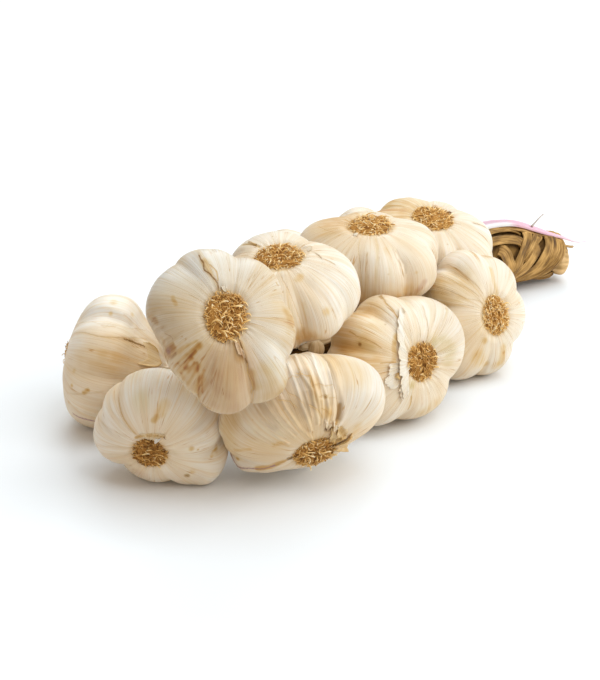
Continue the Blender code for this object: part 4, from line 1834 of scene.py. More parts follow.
@dataclass(frozen=True)
class FoldedEnd:
    """The folded end of the stems: a rounded knob, lower than the plait, with pleats over it."""

    plait: Plait
    length: float = 15.5
    starts_at: float = -1.5
    spread: tuple = (1.25, 1.22)
    drop: float = 1.6
    rings: int = 60
    sides: int = 90
    pleats: tuple = (
        (2.4, 0.8, ((0.985, 100, 4.0), (1.005, 106, 3.8), (1.022, 116, 1.8), (1.034, 130, -1.2),
                    (1.04, 146, -4.0))),
        (2.2, 0.8, ((0.985, 74, 4.0), (1.008, 80, 3.0), (1.024, 88, 0.4), (1.036, 98, -3.4))),
        (2.2, 0.8, ((0.985, 126, 4.4), (1.008, 134, 3.6), (1.026, 144, 1.2), (1.038, 158, -2.4))),
        (2.4, 0.8, ((0.985, 48, 4.0), (1.008, 52, 3.0), (1.026, 60, 0.4), (1.038, 70, -3.4))),
        (2.4, 0.8, ((0.98, 20, 4.4), (1.008, 14, 3.4), (1.026, 6, 0.8), (1.038, -4, -2.4))),
        (0.8, 0.45, ((1.02, 118, 1.6), (1.034, 120, 0.6), (1.046, 122, 0.2), (1.056, 124, 0.6))),
    )

    SEED = 44
    KNOB_NUMBER = 11
    FIRST_PLEAT_NUMBER = 60
    BOW = 0.2

    def knob(self) -> Piece:
        """The knob: an egg whose girth is pleated by noise that runs along it.

        Returns:
            The closed egg.
        """
        plait = self.plait
        point, forward, sideways, up = plait.place(np.array(plait.length + self.starts_at))
        radius = plait.strand_radius * float(plait.fullness(np.array(plait.length)))
        width = (plait.swing + 1) * radius * self.spread[0]
        height = (plait.lift + 1) * radius * self.spread[1]
        polar = np.linspace(0.03, 0.97, self.rings)[:, None] * math.pi
        theta = circle(self.sides)[None]
        folds = 1 + 0.06 * np.cos(2 * theta) + 0.05 * np.cos(3 * theta + 1)
        pleats = Noise(self.SEED).round_and_along(theta + 0.5 * np.cos(polar), polar, 13, 0.6)
        out = np.sin(polar) ** 0.62 * folds * (0.90 + 0.16 * pleats)
        ahead = self.length * (1 - np.cos(polar)) / 2
        line = point + forward * ahead - up * self.drop * (ahead / self.length)
        section = np.stack((out * width * np.cos(theta), out * height * np.sin(theta)), -1)
        return tube(line, sideways, up, section, self.KNOB_NUMBER)

    def build(self, finish: Material) -> Object:
        """Makes the piece.

        Args:
            finish: Its material.

        Returns:
            Its object.
        """
        parts = [self.knob()]
        for number, (width, thickness, route) in enumerate(self.pleats, self.FIRST_PLEAT_NUMBER):
            parts.append(LeafBand(route, width, thickness, number, self.BOW).piece(self.plait))
        return joined("folded_end", parts).build(finish, "dry_stem", "stem_end")


@dataclass(frozen=True)
class PinkSheath:
    """The thin sheath along the top of the wound end, drawn out to a point.

    Attributes:
        route: (distance along the plait as a share of its length, degrees round it, millimetres
            clear of it) of each place that it passes.
        tilt: Degrees by which it leans towards the near side.
        fibre: The thin torn fibre that stands up from it, as a route.
    """

    plait: Plait
    route: tuple = (
        (0.775, 86, 5.6), (0.81, 88, 6.9), (0.85, 90, 7.8), (0.90, 94, 8.3), (0.95, 97, 7.9),
        (0.99, 102, 6.6), (1.03, 109, 4.8), (1.06, 116, 3.4), (1.095, 114, 4.2),
    )
    half_width: float = 3.6
    half_thickness: float = 0.3
    tilt: float = 38.0
    fibre: tuple = ((0.950, 98, 8.6), (0.960, 94, 11.0), (0.970, 90, 13.5), (0.982, 86, 15.8))
    rings: int = 140
    ring_points: int = 24

    SEED = 91
    MAUVE_WHITE_ROSE_PALE = (
        (0.64, 0.41, 0.48), (0.84, 0.82, 0.81), (0.79, 0.49, 0.57), (0.87, 0.65, 0.70),
    )

    def strip(self) -> Piece:
        """The sheath: a thin lens section, wavy along its edges, on a path over the wound end.

        Returns:
            The closed strip.
        """
        share, degrees, clear = catmull_rom(self.route, self.rings - 1).T
        distance = share * self.plait.length
        line = self.plait.outside(distance, np.radians(degrees), clear)
        point, _, sideways, _ = self.plait.place(distance)
        outward, tilt = unit(line - point), math.radians(self.tilt)
        across = sideways * math.cos(tilt) + outward * math.sin(tilt)
        normal = outward * math.cos(tilt) - sideways * math.sin(tilt)
        s = np.linspace(0, 1, self.rings)[:, None]
        theta = circle(self.ring_points)[None]
        noise = Noise(self.SEED)
        wave = noise.at(s * 9, 2 * np.sign(np.cos(theta)), 0) - 0.5
        width = self.half_width * np.minimum(1, s * 4 + 0.3) * (1 - s) ** 0.75 * (1 + 0.35 * wave)
        folds = noise.at(np.cos(theta) * 2.4 + 5, s * 3, 1) - 0.5
        y = self.half_thickness * np.sin(theta) - 0.22 * width * np.cos(theta) ** 2 + 1.1 * folds * (1 - s)
        section = packed(width * np.cos(theta), y)
        return tube(line, across, normal, section)

    def colours(self) -> Array:
        """Goes from mauve to rose, paler towards the point, with a white stretch on the lower half.

        Returns:
            Red, green and blue of each point of each ring.
        """
        share = np.linspace(0, 1, self.rings)
        mauve, white, rose, pale = np.array(self.MAUVE_WHITE_ROSE_PALE)
        colour = mix(mauve, rose, ramp(share, 0.3, 0.5))
        colour = mix(colour, pale, ramp(share, 0.6, 0.9))
        white_share = ramp(share, 0.14, 0.20) * (1 - ramp(share, 0.36, 0.42))
        lower = ramp(-np.cos(circle(self.ring_points)), -0.25, 0.35)
        return mix(colour[:, None], white, white_share[:, None] * lower)

    def torn_fibre(self) -> Piece:
        """The torn fibre: a hair-thin tube that stands up from the sheath.

        Returns:
            The closed tube.
        """
        share, degrees, clear = catmull_rom(self.fibre, 12).T
        line = self.plait.outside(share * self.plait.length, np.radians(degrees), clear)
        along = unit(np.gradient(line, axis=0))
        across = unit(np.cross(along, (0.3, 0.2, 0.9)))
        theta = circle(6)
        girth = np.linspace(0.62, 0.30, 13)[:, None]
        section = np.stack((girth * np.cos(theta), girth * np.sin(theta)), -1)
        fibre = tube(line, across, np.cross(along, across), section)
        fibre.layers["colour"] = np.tile((0.50, 0.42, 0.36, 1.0), (len(fibre.points), 1))
        return fibre

    def build(self, finish: Material) -> Object:
        """Makes the piece.

        Args:
            finish: Its material.

        Returns:
            Its object.
        """
        strip = self.strip()
        opaque = np.concatenate((self.colours(), np.ones((self.rings, self.ring_points, 1))), -1)
        strip.layers["colour"] = closed_points(opaque)
        piece = joined("rosy_strip", [strip, self.torn_fibre()])
        return piece.build(finish, "pink_sheath", "pink_sheath")


# ---------------------------------------------------------------- studio


@dataclass(frozen=True)
class Studio:
    """A pale floor, soft light, and the camera.

    Attributes:
        camera_at: Where it stands, in laid-out millimetres.
        looks: The way it looks.
        lens: In millimetres.
        sky: Colour of the light from all round.
        sky_strength: Its strength.
        floor_reach: From the braid to the floor's edges, in metres.
        floor_gap: How far the floor lies under the braid, in metres.
        lights: What light() takes for each softbox.
    """

    camera_at: tuple = (-627.0, -430.0, 365.0)
    looks: tuple = (0.7238, 0.5454, -0.4226)
    lens: float = 84.706
    sky: tuple = (1.0, 0.895, 0.785, 1)
    sky_strength: float = 0.45
    floor_reach: float = 8.0
    floor_gap: float = 0.0002
    lights: tuple = (
        ("key", (0.99, -0.57, 1.64), 1.4, 18.0, (0.86, 0.94, 1.0)),
        ("side", (1.88, 0.0, 0.68), 1.3, 19.0, (0.80, 0.92, 1.0)),
        ("top", (0.0, 0.0, 2.0), 1.6, 17.5, (0.76, 0.895, 1.0)),
        ("back", (0.0, 1.53, 1.29), 1.2, 15.0, (0.82, 0.93, 1.0)),
    )

    def floor(self) -> None:
        """A wide plane just under the braid."""
        mesh = bpy.data.meshes.new("floor")
        far, low = self.floor_reach, -self.floor_gap
        corners = [(-far, -far, low), (far, -far, low), (far, far, low), (-far, far, low)]
        mesh.from_pydata(corners, [], [(0, 1, 2, 3)])
        mesh.materials.append(PlainFloor().material())
        plane = bpy.data.objects.new("floor", mesh)
        bpy.context.scene.collection.objects.link(plane)

    def light(self, name: str, place: tuple, size: float, power: float, colour: tuple) -> None:
        """A square softbox that faces the braid.

        Args:
            name: Its name.
            place: (metres to the right of the camera's line, away from the camera, up).
            size: Its side, in metres.
            power: In watts.
            colour: Of its light.
        """
        ahead = Vector((self.looks[0], self.looks[1], 0)).normalized()
        right = Vector((ahead.y, -ahead.x, 0))
        data = bpy.data.lights.new(name, "AREA")
        data.shape, data.size, data.energy, data.color = "SQUARE", size, power, colour
        lamp = bpy.data.objects.new(name, data)
        lamp.location = right * place[0] + ahead * place[1] + Vector((0, 0, place[2]))
        aim = Vector((0, 0, 0.03)) - lamp.location
        lamp.rotation_euler = aim.to_track_quat("-Z", "Y").to_euler()
        bpy.context.scene.collection.objects.link(lamp)

    def camera(self) -> None:
        """The camera, level, looking down along the braid from its free bulb end."""
        data = bpy.data.cameras.new("camera")
        data.lens, data.sensor_width, data.clip_end = self.lens, 36.0, 50.0
        eye = bpy.data.objects.new("camera", data)
        eye.location = Vector((np.array(self.camera_at) + LAID_OUT_TO_FRAME) * MM)
        eye.rotation_euler = Vector(self.looks).to_track_quat("-Z", "Y").to_euler()
        bpy.context.scene.collection.objects.link(eye)
        bpy.context.scene.camera = eye

    def build(self) -> None:
        """Sets up the floor, the sky, the lights and the camera."""
        self.floor()
        world = bpy.data.worlds.new("sky")
        world.use_nodes = True
        background = world.node_tree.nodes["Background"]
        background.inputs["Color"].default_value = self.sky
        background.inputs["Strength"].default_value = self.sky_strength
        bpy.context.scene.world = world
        for light in self.lights:
            self.light(*light)
        self.camera()
        bpy.context.scene.view_settings.view_transform = "Standard"


# ---------------------------------------------------------------- the braid


CREAM, PALE, WHITE, WARM, TAN, STAIN, BROWN, DARK, ROSE, GREY, PURPLE, OLIVE = Tint

FRONT_TOP = Look(
    3, 0.55, shade=0.79, tuft=(1.7, 0.6, 0.8, 0.97), long_strands=40, straw=0.7, matted=128, columns=432,
    marks=(
        # painted shade: the left side is tinted warmer and darker
        Mark(((350, 0.9), (8, 0.62), (20, 0.48)), 8.0, WARM, 0.26, 0.0, 0.2),
        Mark(((186, 0.95), (172, 0.55)), 7.0, WARM, 0.22, 0.0, 0.2),
        Crack(
            ((73, 0.62), (72, 0.55), (72.5, 0.5), (69, 0.42), (72, 0.36), (73, 0.33), (77, 0.25),
             (75, 0.21)),
            0.2, BROWN, 0.95, 0.25,
        ),
        Crack(((77, 0.44), (81, 0.36), (79, 0.28)), 0.15, STAIN, 0.9, 0.12),
        Mark(((74, 0.5), (76, 0.36)), 1.3, TAN, 0.55, -0.2, 0.8),
        Mark(((66, 0.95), (68, 0.7), (72, 0.45)), 5.0, PALE, 0.0, -1.1, 0.0),
        Mark(((20, 0.98), (30, 0.92), (42, 0.88), (56, 0.9)), 5.0, PALE, 0.0, -1.6, 0.0),
        Mark(((296, 1.0), (284, 1.05), (270, 1.05), (250, 1.05), (238, 1.0)), 6.0, PALE, 0.0, -2.3, 0.0),
        # painted light: the top of the bulb is whitened
        Mark(((86, 0.95), (84, 0.4)), 12.0, WHITE, 0.55, 0.0, 0.2),
        # painted shade: the left side is greyed
        Mark(((0, 0.95), (6, 0.55)), 5.0, GREY, 0.2, 0.0, 0.2),
        Mark(((40, 0.7), (60, 0.5)), 7.0, WHITE, 0.9, 0.0, 0.2),
        Mark(((176, 0.9), (180, 0.55)), 4.5, CREAM, 0.45, 0.0, 0.2),
        Mark(((228, 0.7), (232, 0.45)), 5.0, WHITE, 0.8, 0.0, 0.2),
        Mark(((275, 0.9), (275, 0.55)), 6.0, WARM, 0.2, 0.0, 0.2),
        Mark(((340, 0.67), (340, 0.81), (346, 0.97)), 1.3, STAIN, 0.75, 0.15, 0.95),
        Mark(((337, 0.87), (338, 1.05)), 1.6, STAIN, 0.65, 0.1, 0.95),
        Mark(((333, 0.7), (331, 0.95)), 0.6, BROWN, 0.5, 0.1, 0.9),
        Mark(((345, 0.95), (351, 0.88)), 1.2, TAN, 0.6),
        Mark(((324, 0.34), (327, 0.43), (325, 0.5)), 1.4, STAIN, 0.85, 0.15, 0.9),
        Mark(((321, 0.41), (322, 0.55), (324, 0.74)), 0.7, STAIN, 0.9, 0.15, 0.9),
        Mark(((318, 0.5), (318, 0.72)), 0.5, TAN, 0.9, 0.1, 0.9),
        Mark(((314, 0.54), (317, 0.72), (318, 0.86)), 0.6, STAIN, 0.7, 0.1, 0.9),
        Mark(((326, 0.55), (328, 0.8)), 2.8, TAN, 0.4, 0.0, 0.9),
        Mark(((308, 0.56), (311, 0.72), (312, 0.9)), 1.6, TAN, 0.7, 0.0, 0.95),
        Mark(((311, 0.51), (305, 0.64), (298, 0.87), (292, 1.09), (285, 0.98)), 0.5, STAIN, 0.65, 0.2, 0.8),
        Mark(((301, 0.55), (300, 0.72), (294, 0.85)), 0.4, TAN, 0.7, 0.1, 0.9),
        Mark(((300, 0.7), (296, 0.95)), 1.6, TAN, 0.4, 0.0, 0.95),
        Mark(((9, 0.85), (6, 0.8)), 1.3, TAN, 0.6, 0.0, 0.9),
        Crack(((354, 0.72), (350, 0.66), (347, 0.65)), 0.2, BROWN, 0.9, 0.25),
        Crack(((255, 0.18), (257, 0.3), (255, 0.39)), 0.22, BROWN, 0.95, 0.3),
        Crack(((255, 0.39), (257, 0.49), (255, 0.62), (255, 0.74), (257, 0.8)), 0.15, STAIN, 0.95, 0.3),
        Crack(((255, 0.8), (256, 1.1)), 0.13, TAN, 0.8, 0.25),
        Mark(((254, 0.5), (252, 0.72)), 1.2, TAN, 0.45, 0.0, 0.9),
        Mark(((262, 0.2), (261, 0.31)), 1.6, TAN, 0.7, -0.3, 0.7),
        Mark(((178, 0.62), (186, 0.7)), 2.4, TAN, 0.4, 0.0, 0.9),
        Mark(((272, 0.4), (275, 0.8)), 7.0, ROSE, 0.34),
        Mark(((330, 0.8), (310, 0.75)), 7.0, WARM, 0.45),
        Mark(((185, 0.8), (200, 0.7)), 5.0, WARM, 0.35),
        Mark(((240, 0.85), (235, 0.7)), 4.0, WARM, 0.35),
        # painted shade: the left side is greyed
        Mark(((352, 0.8), (10, 0.9)), 6.0, GREY, 0.25),
        Mark(((295, 0.4), (292, 0.6)), 3.0, ROSE, 0.22),
        Mark(((238, 0.5),), 2.2, TAN, 0.3),
        Mark(((232, 0.95),), 3.0, TAN, 0.3),
        Mark(((20, 0.45), (26, 0.5)), 0.6, TAN, 0.6),
        Mark(((12, 0.92),), 1.0, TAN, 0.5),
    ),
    flaps=(
        Flap(((81, 0.155), (91, 0.145)), 0.06, (0.3, 1.5), PALE, 0.4, 0.02, 0.3, 0.1),
        Flap(((255, 0.36), (260, 0.31), (267, 0.24)), -0.12, (0.2, 0.7), ROSE, 0.35, 0.03, 0.5, 0.3),
    ),
)

FRONT_LOW = Look(
    # its skin is painted lighter overall, as painted light on the top and right that the bulbs beside it
    # shade
    5, 0.1, shade=1.03, tuft=(1.7, -2.2, 0.92, 0.84), long_strands=6, straw=0.46, columns=384,
    marks=(
        Mark(((196, 1.15), (202, 1.02), (210, 0.9), (220, 0.78)), 4.0, PALE, 0.0, -2.4, 0.0),
        # painted shade: the lower left of the bulb is greyed
        Mark(((315, 0.6), (350, 0.5), (40, 0.45)), 9.0, GREY, 0.2, 0.0, 0.2),
        # painted light: the top and right, in the shade of the bulbs beside it, are whitened
        Mark(((88, 0.95), (130, 0.85), (165, 0.68), (190, 0.55)), 10.0, WHITE, 1.6, 0.0, 0.2),
        Mark(((193, 0.81), (198, 0.68)), 0.5, TAN, 0.45, 0.0, 0.9),
        Crack(((58, 1.11), (53, 0.85), (50, 0.58), (49, 0.43), (49, 0.2)), 0.25, STAIN, 0.7, 0.17),
        Crack(((42, 1.05), (40, 0.6), (44, 0.25)), 0.19, TAN, 0.26, 0.12),
        Crack(((11, 0.95), (18, 0.54), (28, 0.25)), 0.19, TAN, 0.26, 0.17),
        Crack(((350, 0.8), (356, 0.45), (2, 0.22)), 0.19, TAN, 0.24, 0.15),
        Crack(((335, 0.75), (338, 0.42), (340, 0.25)), 0.16, TAN, 0.24, 0.12),
        Mark(((78, 0.54),), 3.6, OLIVE, 0.18),
        Mark(((106, 0.55), (103, 0.42)), 1.5, TAN, 0.7),
        Mark(((99, 0.36), (95, 0.31)), 0.9, STAIN, 0.55),
        Mark(((40, 0.16), (72, 0.135), (99, 0.14), (124, 0.165)), 0.55, STAIN, 0.65, 0.5),
        # painted shadow: a near-black line along the step at the lip above the roots
        Crack(((118, 0.16), (128, 0.16)), 0.28, DARK, 0.9, 0.3),
        Mark(((227, 0.43),), 0.7, BROWN, 0.75, 0.2),
        Mark(((217, 0.44),), 0.9, TAN, 0.5),
        Mark(((179, 0.36),), 0.9, STAIN, 0.45),
        Mark(((196, 0.8), (192, 0.86)), 0.6, STAIN, 0.45),
        Mark(((294, 0.36),), 2.2, ROSE, 0.25),
        Mark(((130, 0.95), (120, 1.2)), 5.0, WARM, 0.4),
    ),
    flaps=(
        Flap(((60, 0.105), (90, 0.1), (124, 0.125)), 0.07, (0.15, 0.9), WARM, 0.5, 0.02, 0.5, 0.6),
        Flap(((104, 0.05), (120, 0.07)), 0.08, (0.3, 2.0), WHITE, 0.9, 0.03, 0.4, 0.0),
    ),
)

NEAR_1 = Look(
    7, 0.6, shade=0.96, wrinkled=(16, 108, 0.9), tuft=(0.0, -2.2, 1.0, 1.05), long_strands=8, columns=400,
    marks=(
        Mark(((104, 1.24), (107, 0.98), (107, 0.77), (111, 0.51), (114, 0.33)), 1.0, GREY, 0.8, 1.0, 0.3),
        Crack(((102.5, 1.2), (105, 0.98), (105, 0.77), (109, 0.51), (112, 0.36)), 0.16, BROWN, 0.75, 0.15),
        Mark(((111, 0.51), (114, 0.33), (113, 0.24)), 0.7, STAIN, 0.5, 0.4, 0.5),
        Mark(((78, 0.92), (78, 0.72), (80, 0.6)), 2.6, GREY, 0.8, 0.45, 0.5),
        Mark(((62, 0.86), (64, 0.66), (68, 0.5)), 2.8, GREY, 0.42, 0.35, 0.5),
        Mark(((100, 0.88), (99, 0.74), (98, 0.56)), 2.2, GREY, 0.42, 0.35, 0.5),
        Mark(((86, 0.86), (86, 0.6)), 1.6, TAN, 0.4, 0.2, 0.8),
        Mark(((143, 0.85), (143, 0.55)), 7.0, WHITE, 0.7, 0.0, 0.2),
        Mark(((41, 0.8), (39, 0.55)), 2.4, GREY, 0.3, 0.3, 0.5),
        Mark(((88, 0.49), (97, 0.41)), 1.6, TAN, 0.5, 0.0, 0.9),
        Mark(((72, 1.1), (72, 0.85), (71, 0.61), (73, 0.25)), 0.5, WHITE, 0.6, -0.85, 0.3),
        Mark(((81, 1.26), (79, 0.95), (83, 0.75), (82, 0.62), (84, 0.31)), 0.55, WHITE, 0.6, -0.95, 0.3),
        Mark(((94, 1.24), (91, 0.93), (94, 0.68), (97, 0.48), (96, 0.3)), 0.5, WHITE, 0.6, -0.85, 0.3),
        Mark(((90, 0.6), (89, 0.28)), 0.38, PALE, 0.6, -0.5, 0.3),
        Mark(((102, 1.04), (102, 0.75), (103, 0.5), (104, 0.33)), 0.45, PALE, 0.7, -0.6, 0.3),
        Mark(((59, 0.95), (58, 0.65), (60, 0.32), (70, 0.12)), 0.5, PALE, 0.7, -0.75, 0.3),
        Mark(((52, 0.9), (51, 0.6), (53, 0.28)), 0.4, PALE, 0.6, -0.5, 0.3),
        Mark(((47, 0.85), (46, 0.55), (46, 0.27)), 0.45, PALE, 0.6, -0.7, 0.3),
        Mark(((36, 0.85), (34, 0.58), (30, 0.26)), 0.45, PALE, 0.6, -0.7, 0.3),
        Mark(((24, 0.92), (20, 0.65), (17, 0.37)), 0.45, PALE, 0.6, -0.6, 0.3),
        Crack(((64, 0.98), (68, 0.93), (72, 0.94), (76, 0.92), (80, 0.97)), 0.13, TAN, 0.55, 0.1),
        Crack(((76, 0.96), (85, 0.9), (84, 0.78)), 0.15, TAN, 0.8, 0.1),
        Crack(((86, 0.79), (90, 0.8), (94, 0.76), (102, 0.77)), 0.13, TAN, 0.45, 0.15),
        Crack(((88, 0.64), (93, 0.66), (97, 0.61), (104, 0.61)), 0.13, TAN, 0.45, 0.15),
        Crack(((64, 0.85), (65, 0.78), (69, 0.73), (72, 0.63)), 0.13, TAN, 0.5, 0.1),
        Crack(((78, 0.57), (84, 0.49), (89, 0.38)), 0.19, TAN, 0.85, 0.15),
        Crack(((89, 0.49), (93, 0.46), (97, 0.41)), 0.17, STAIN, 0.7, 0.1),
        Crack(((56, 0.76), (63, 0.7), (66, 0.6)), 0.15, TAN, 0.7, 0.1),
        Crack(((15, 0.36), (27, 0.32), (23, 0.23)), 0.17, TAN, 0.8, 0.1),
        Mark(((18, 0.36), (27, 0.3)), 1.0, TAN, 0.5, 0.0, 0.9),
        Mark(((338, 0.9), (326, 0.89), (318, 0.8)), 4.0, PALE, 0.0, -1.1, 0.0),
        Mark(((8, 1.1), (356, 1.02)), 3.0, PALE, 0.0, -0.9, 0.0),
        Mark(((296, 0.7), (275, 0.62), (245, 0.62), (215, 0.62)), 7.5, PALE, 0.0, 4.4, 0.0),
        Mark(((294, 0.44), (270, 0.4), (240, 0.38), (210, 0.42)), 5.0, PALE, 0.0, 2.6, 0.0),
        Mark(((112, 1.1), (122, 0.9)), 5.0, WARM, 0.4, 0.0, 0.2),
        Mark(((12, 0.95), (355, 0.85), (342, 0.8)), 4.0, TAN, 0.4, 0.0, 0.4),
        Mark(((22, 0.6), (34, 0.48)), 5.0, WHITE, 1.1, 0.0, 0.2),
        Mark(((140, 0.95), (135, 0.6)), 8.0, GREY, 0.26, 0.0, 0.2),
        # painted shade: a near-black spot in a small pressed hole
        Mark(((340, 0.13), (344, 0.19)), 0.6, DARK, 0.8, 0.7),
        Crack(((344, 0.17), (342, 0.22), (333, 0.32)), 0.26, STAIN, 1.0, 0.3),
        Crack(((333, 0.32), (328, 0.44), (327, 0.62), (323, 0.8), (329, 0.93)), 0.19, PURPLE, 0.75, 0.25),
        Mark(((341, 0.24), (331, 0.38), (328, 0.52)), 0.9, TAN, 0.75, 0.0, 0.7),
        Mark(((352, 0.72), (1, 0.55)), 0.6, TAN, 0.45),
        Mark(((331, 0.8),), 0.7, STAIN, 0.5),
        Mark(((125, 0.24), (150, 0.2)), 0.9, BROWN, 0.5, 0.3),
        # painted shade: a near-black spot in a small pressed hole
        Mark(((103, 0.22),), 1.1, DARK, 0.75, 0.7),
        Mark(((151, 0.35), (160, 0.3)), 1.6, TAN, 0.35),
    ),
    flaps=(
        Flap(((93, 0.26), (104, 0.23)), 0.08, (0.1, 0.9), CREAM, 0.6, 0.05, 0.5, 0.5),
        Flap(((107, 0.24), (118, 0.21)), 0.07, (0.1, 1.1), CREAM, 0.6, 0.05, 0.5, 0.5),
        Flap(((108, 0.13), (130, 0.11), (150, 0.13)), 0.1, (0.2, 1.7), TAN, 0.75, 0.05, 0.7, 1.0),
        Flap(((120, 0.17), (138, 0.16), (154, 0.17)), 0.09, (0.2, 1.3), STAIN, 0.5, 0.05, 0.7, 1.0),
        Flap(((158, 0.15), (172, 0.13), (190, 0.16)), 0.12, (0.3, 2.6), STAIN, 0.55, 0.06, 0.7, 1.0),
    ),
)

NEAR_2 = Look(
    9, 0.25, shade=0.94, tuft=(-2.9, -0.3, 0.97, 1.02), long_strands=6, straw=0.56,
    marks=(
        Crack(((95, 1.1), (86, 0.94), (80, 0.74), (79, 0.56), (77, 0.42)), 0.25, STAIN, 0.85, 0.17),
        Mark(((87, 0.98), (84, 0.88)), 0.6, BROWN, 0.6, 0.4),
        Crack(((73, 0.98), (73, 0.71), (73, 0.5)), 0.19, TAN, 0.32, 0.15),
        Crack(((64, 0.98), (64, 0.7), (66, 0.5)), 0.19, TAN, 0.28, 0.12),
        Crack(((38, 0.8), (36, 0.69), (36, 0.56), (35, 0.45), (33, 0.38)), 0.17, STAIN, 0.95, 0.1),
        Crack(((13, 0.34), (15, 0.23)), 0.17, STAIN, 0.8),
        Mark(((30, 0.6), (28, 0.5)), 2.2, OLIVE, 0.25),
        Mark(((30, 0.62),), 0.55, BROWN, 0.6),
        # tan skin, and painted shade on the left side of the bulb
        Mark(((60, 0.95), (35, 0.75), (12, 0.6)), 9.0, WARM, 0.62),
        Mark(((150, 0.8), (160, 0.48), (172, 0.36)), 8.0, GREY, 0.24, 0.0, 0.2),
        Mark(((18, 0.8), (8, 0.6)), 4.0, TAN, 0.35),
        Mark(((300, 0.5), (315, 0.36)), 6.0, WHITE, 0.7, 0.0, 0.2),
        Mark(((70, 0.3), (90, 0.28), (120, 0.45)), 6.0, WHITE, 0.5),
        Mark(((60, 0.3), (30, 0.215), (0, 0.205), (-25, 0.24)), 0.9, TAN, 0.65),
        Crack(((119, 0.6), (119, 0.43), (128, 0.2)), 0.26, TAN, 0.26, 0.3),
        Crack(((133, 0.8), (133, 0.6), (132, 0.4)), 0.21, TAN, 0.22, 0.17),
        Crack(((103, 0.75), (104, 0.45), (108, 0.2)), 0.21, TAN, 0.22, 0.17),
        Crack(((146, 0.75), (144, 0.45)), 0.19, TAN, 0.2, 0.12),
        Mark(((150, 0.22), (178, 0.36), (188, 0.34)), 2.8, OLIVE, 0.34),
        Crack(((292, 0.27), (289, 0.34), (287, 0.47)), 0.19, STAIN, 0.95, 0.2),
        Mark(((262, 0.6), (250, 0.55)), 3.4, TAN, 0.4),
        Mark(((300, 0.16),), 1.6, OLIVE, 0.5),
    ),
    flaps=(
        Flap(
            ((88, 0.6), (80, 0.48), (72, 0.38), (60, 0.285), (49, 0.225), (34, 0.185), (18, 0.17),
             (0, 0.165), (-18, 0.175), (-34, 0.215), (-48, 0.27), (-57, 0.33)),
            -0.15, (0.0, 1.1), PALE, 0.45, 0.022, 0.5, 0.15,
        ),
        Flap(((-34, 0.24), (-44, 0.29), (-54, 0.36)), -0.08, (0.1, 0.9), PALE, 0.35, 0.05, 0.6, 0.3),
        Flap(
            ((14, 0.27), (-2, 0.31), (-18, 0.33), (-32, 0.36)),
            -0.13, (0.0, 0.6), PALE, 0.5, 0.05, 0.5, 0.2,
        ),
        Flap(((-8, 0.215), (-22, 0.23)), -0.05, (0.3, 0.9), STAIN, 0.9, 0.02, 0.5, 0.5),
    ),
)

NEAR_3 = Look(
    11, 0.3, shade=0.93, tuft=(-2.3, -1.2, 0.86, 1.02), long_strands=4, straw=0.9,
    marks=(
        # painted shadow: greyed where the bulbs above shade it
        Mark(((40, 0.66), (56, 0.58)), 8.0, GREY, 0.28, 0.0, 0.2),
        Mark(((110, 0.5), (110, 0.3), (121, 0.18)), 0.8, TAN, 0.45),
        Mark(((117, 1.1), (117, 0.8)), 1.2, STAIN, 0.4),
        Crack(((40, 0.9), (40, 0.77), (39, 0.3), (55, 0.12)), 0.21, TAN, 0.26, 0.15),
        Crack(((55, 0.9), (53, 0.5), (60, 0.2)), 0.21, TAN, 0.24, 0.15),
        Crack(((25, 0.9), (24, 0.5), (30, 0.2)), 0.21, TAN, 0.24, 0.15),
        Crack(((70, 0.9), (68, 0.5), (74, 0.2)), 0.21, TAN, 0.24, 0.15),
        Mark(((294, 0.48), (300, 0.43)), 2.4, TAN, 0.5),
        Mark(((282, 0.56),), 1.4, TAN, 0.5),
        Mark(((257, 0.36), (262, 0.55)), 1.5, TAN, 0.5),
        Mark(((257, 0.42),), 0.6, STAIN, 0.6),
        Mark(((268, 0.6),), 1.8, TAN, 0.4),
        Mark(((300, 0.24),), 1.2, STAIN, 0.4),
        Mark(((330, 0.7),), 4.5, WARM, 0.45),
        # painted shadow: tan and darker where the bulbs above shade it
        Mark(((52, 0.56), (38, 0.72)), 7.0, TAN, 0.55),
    ),
)

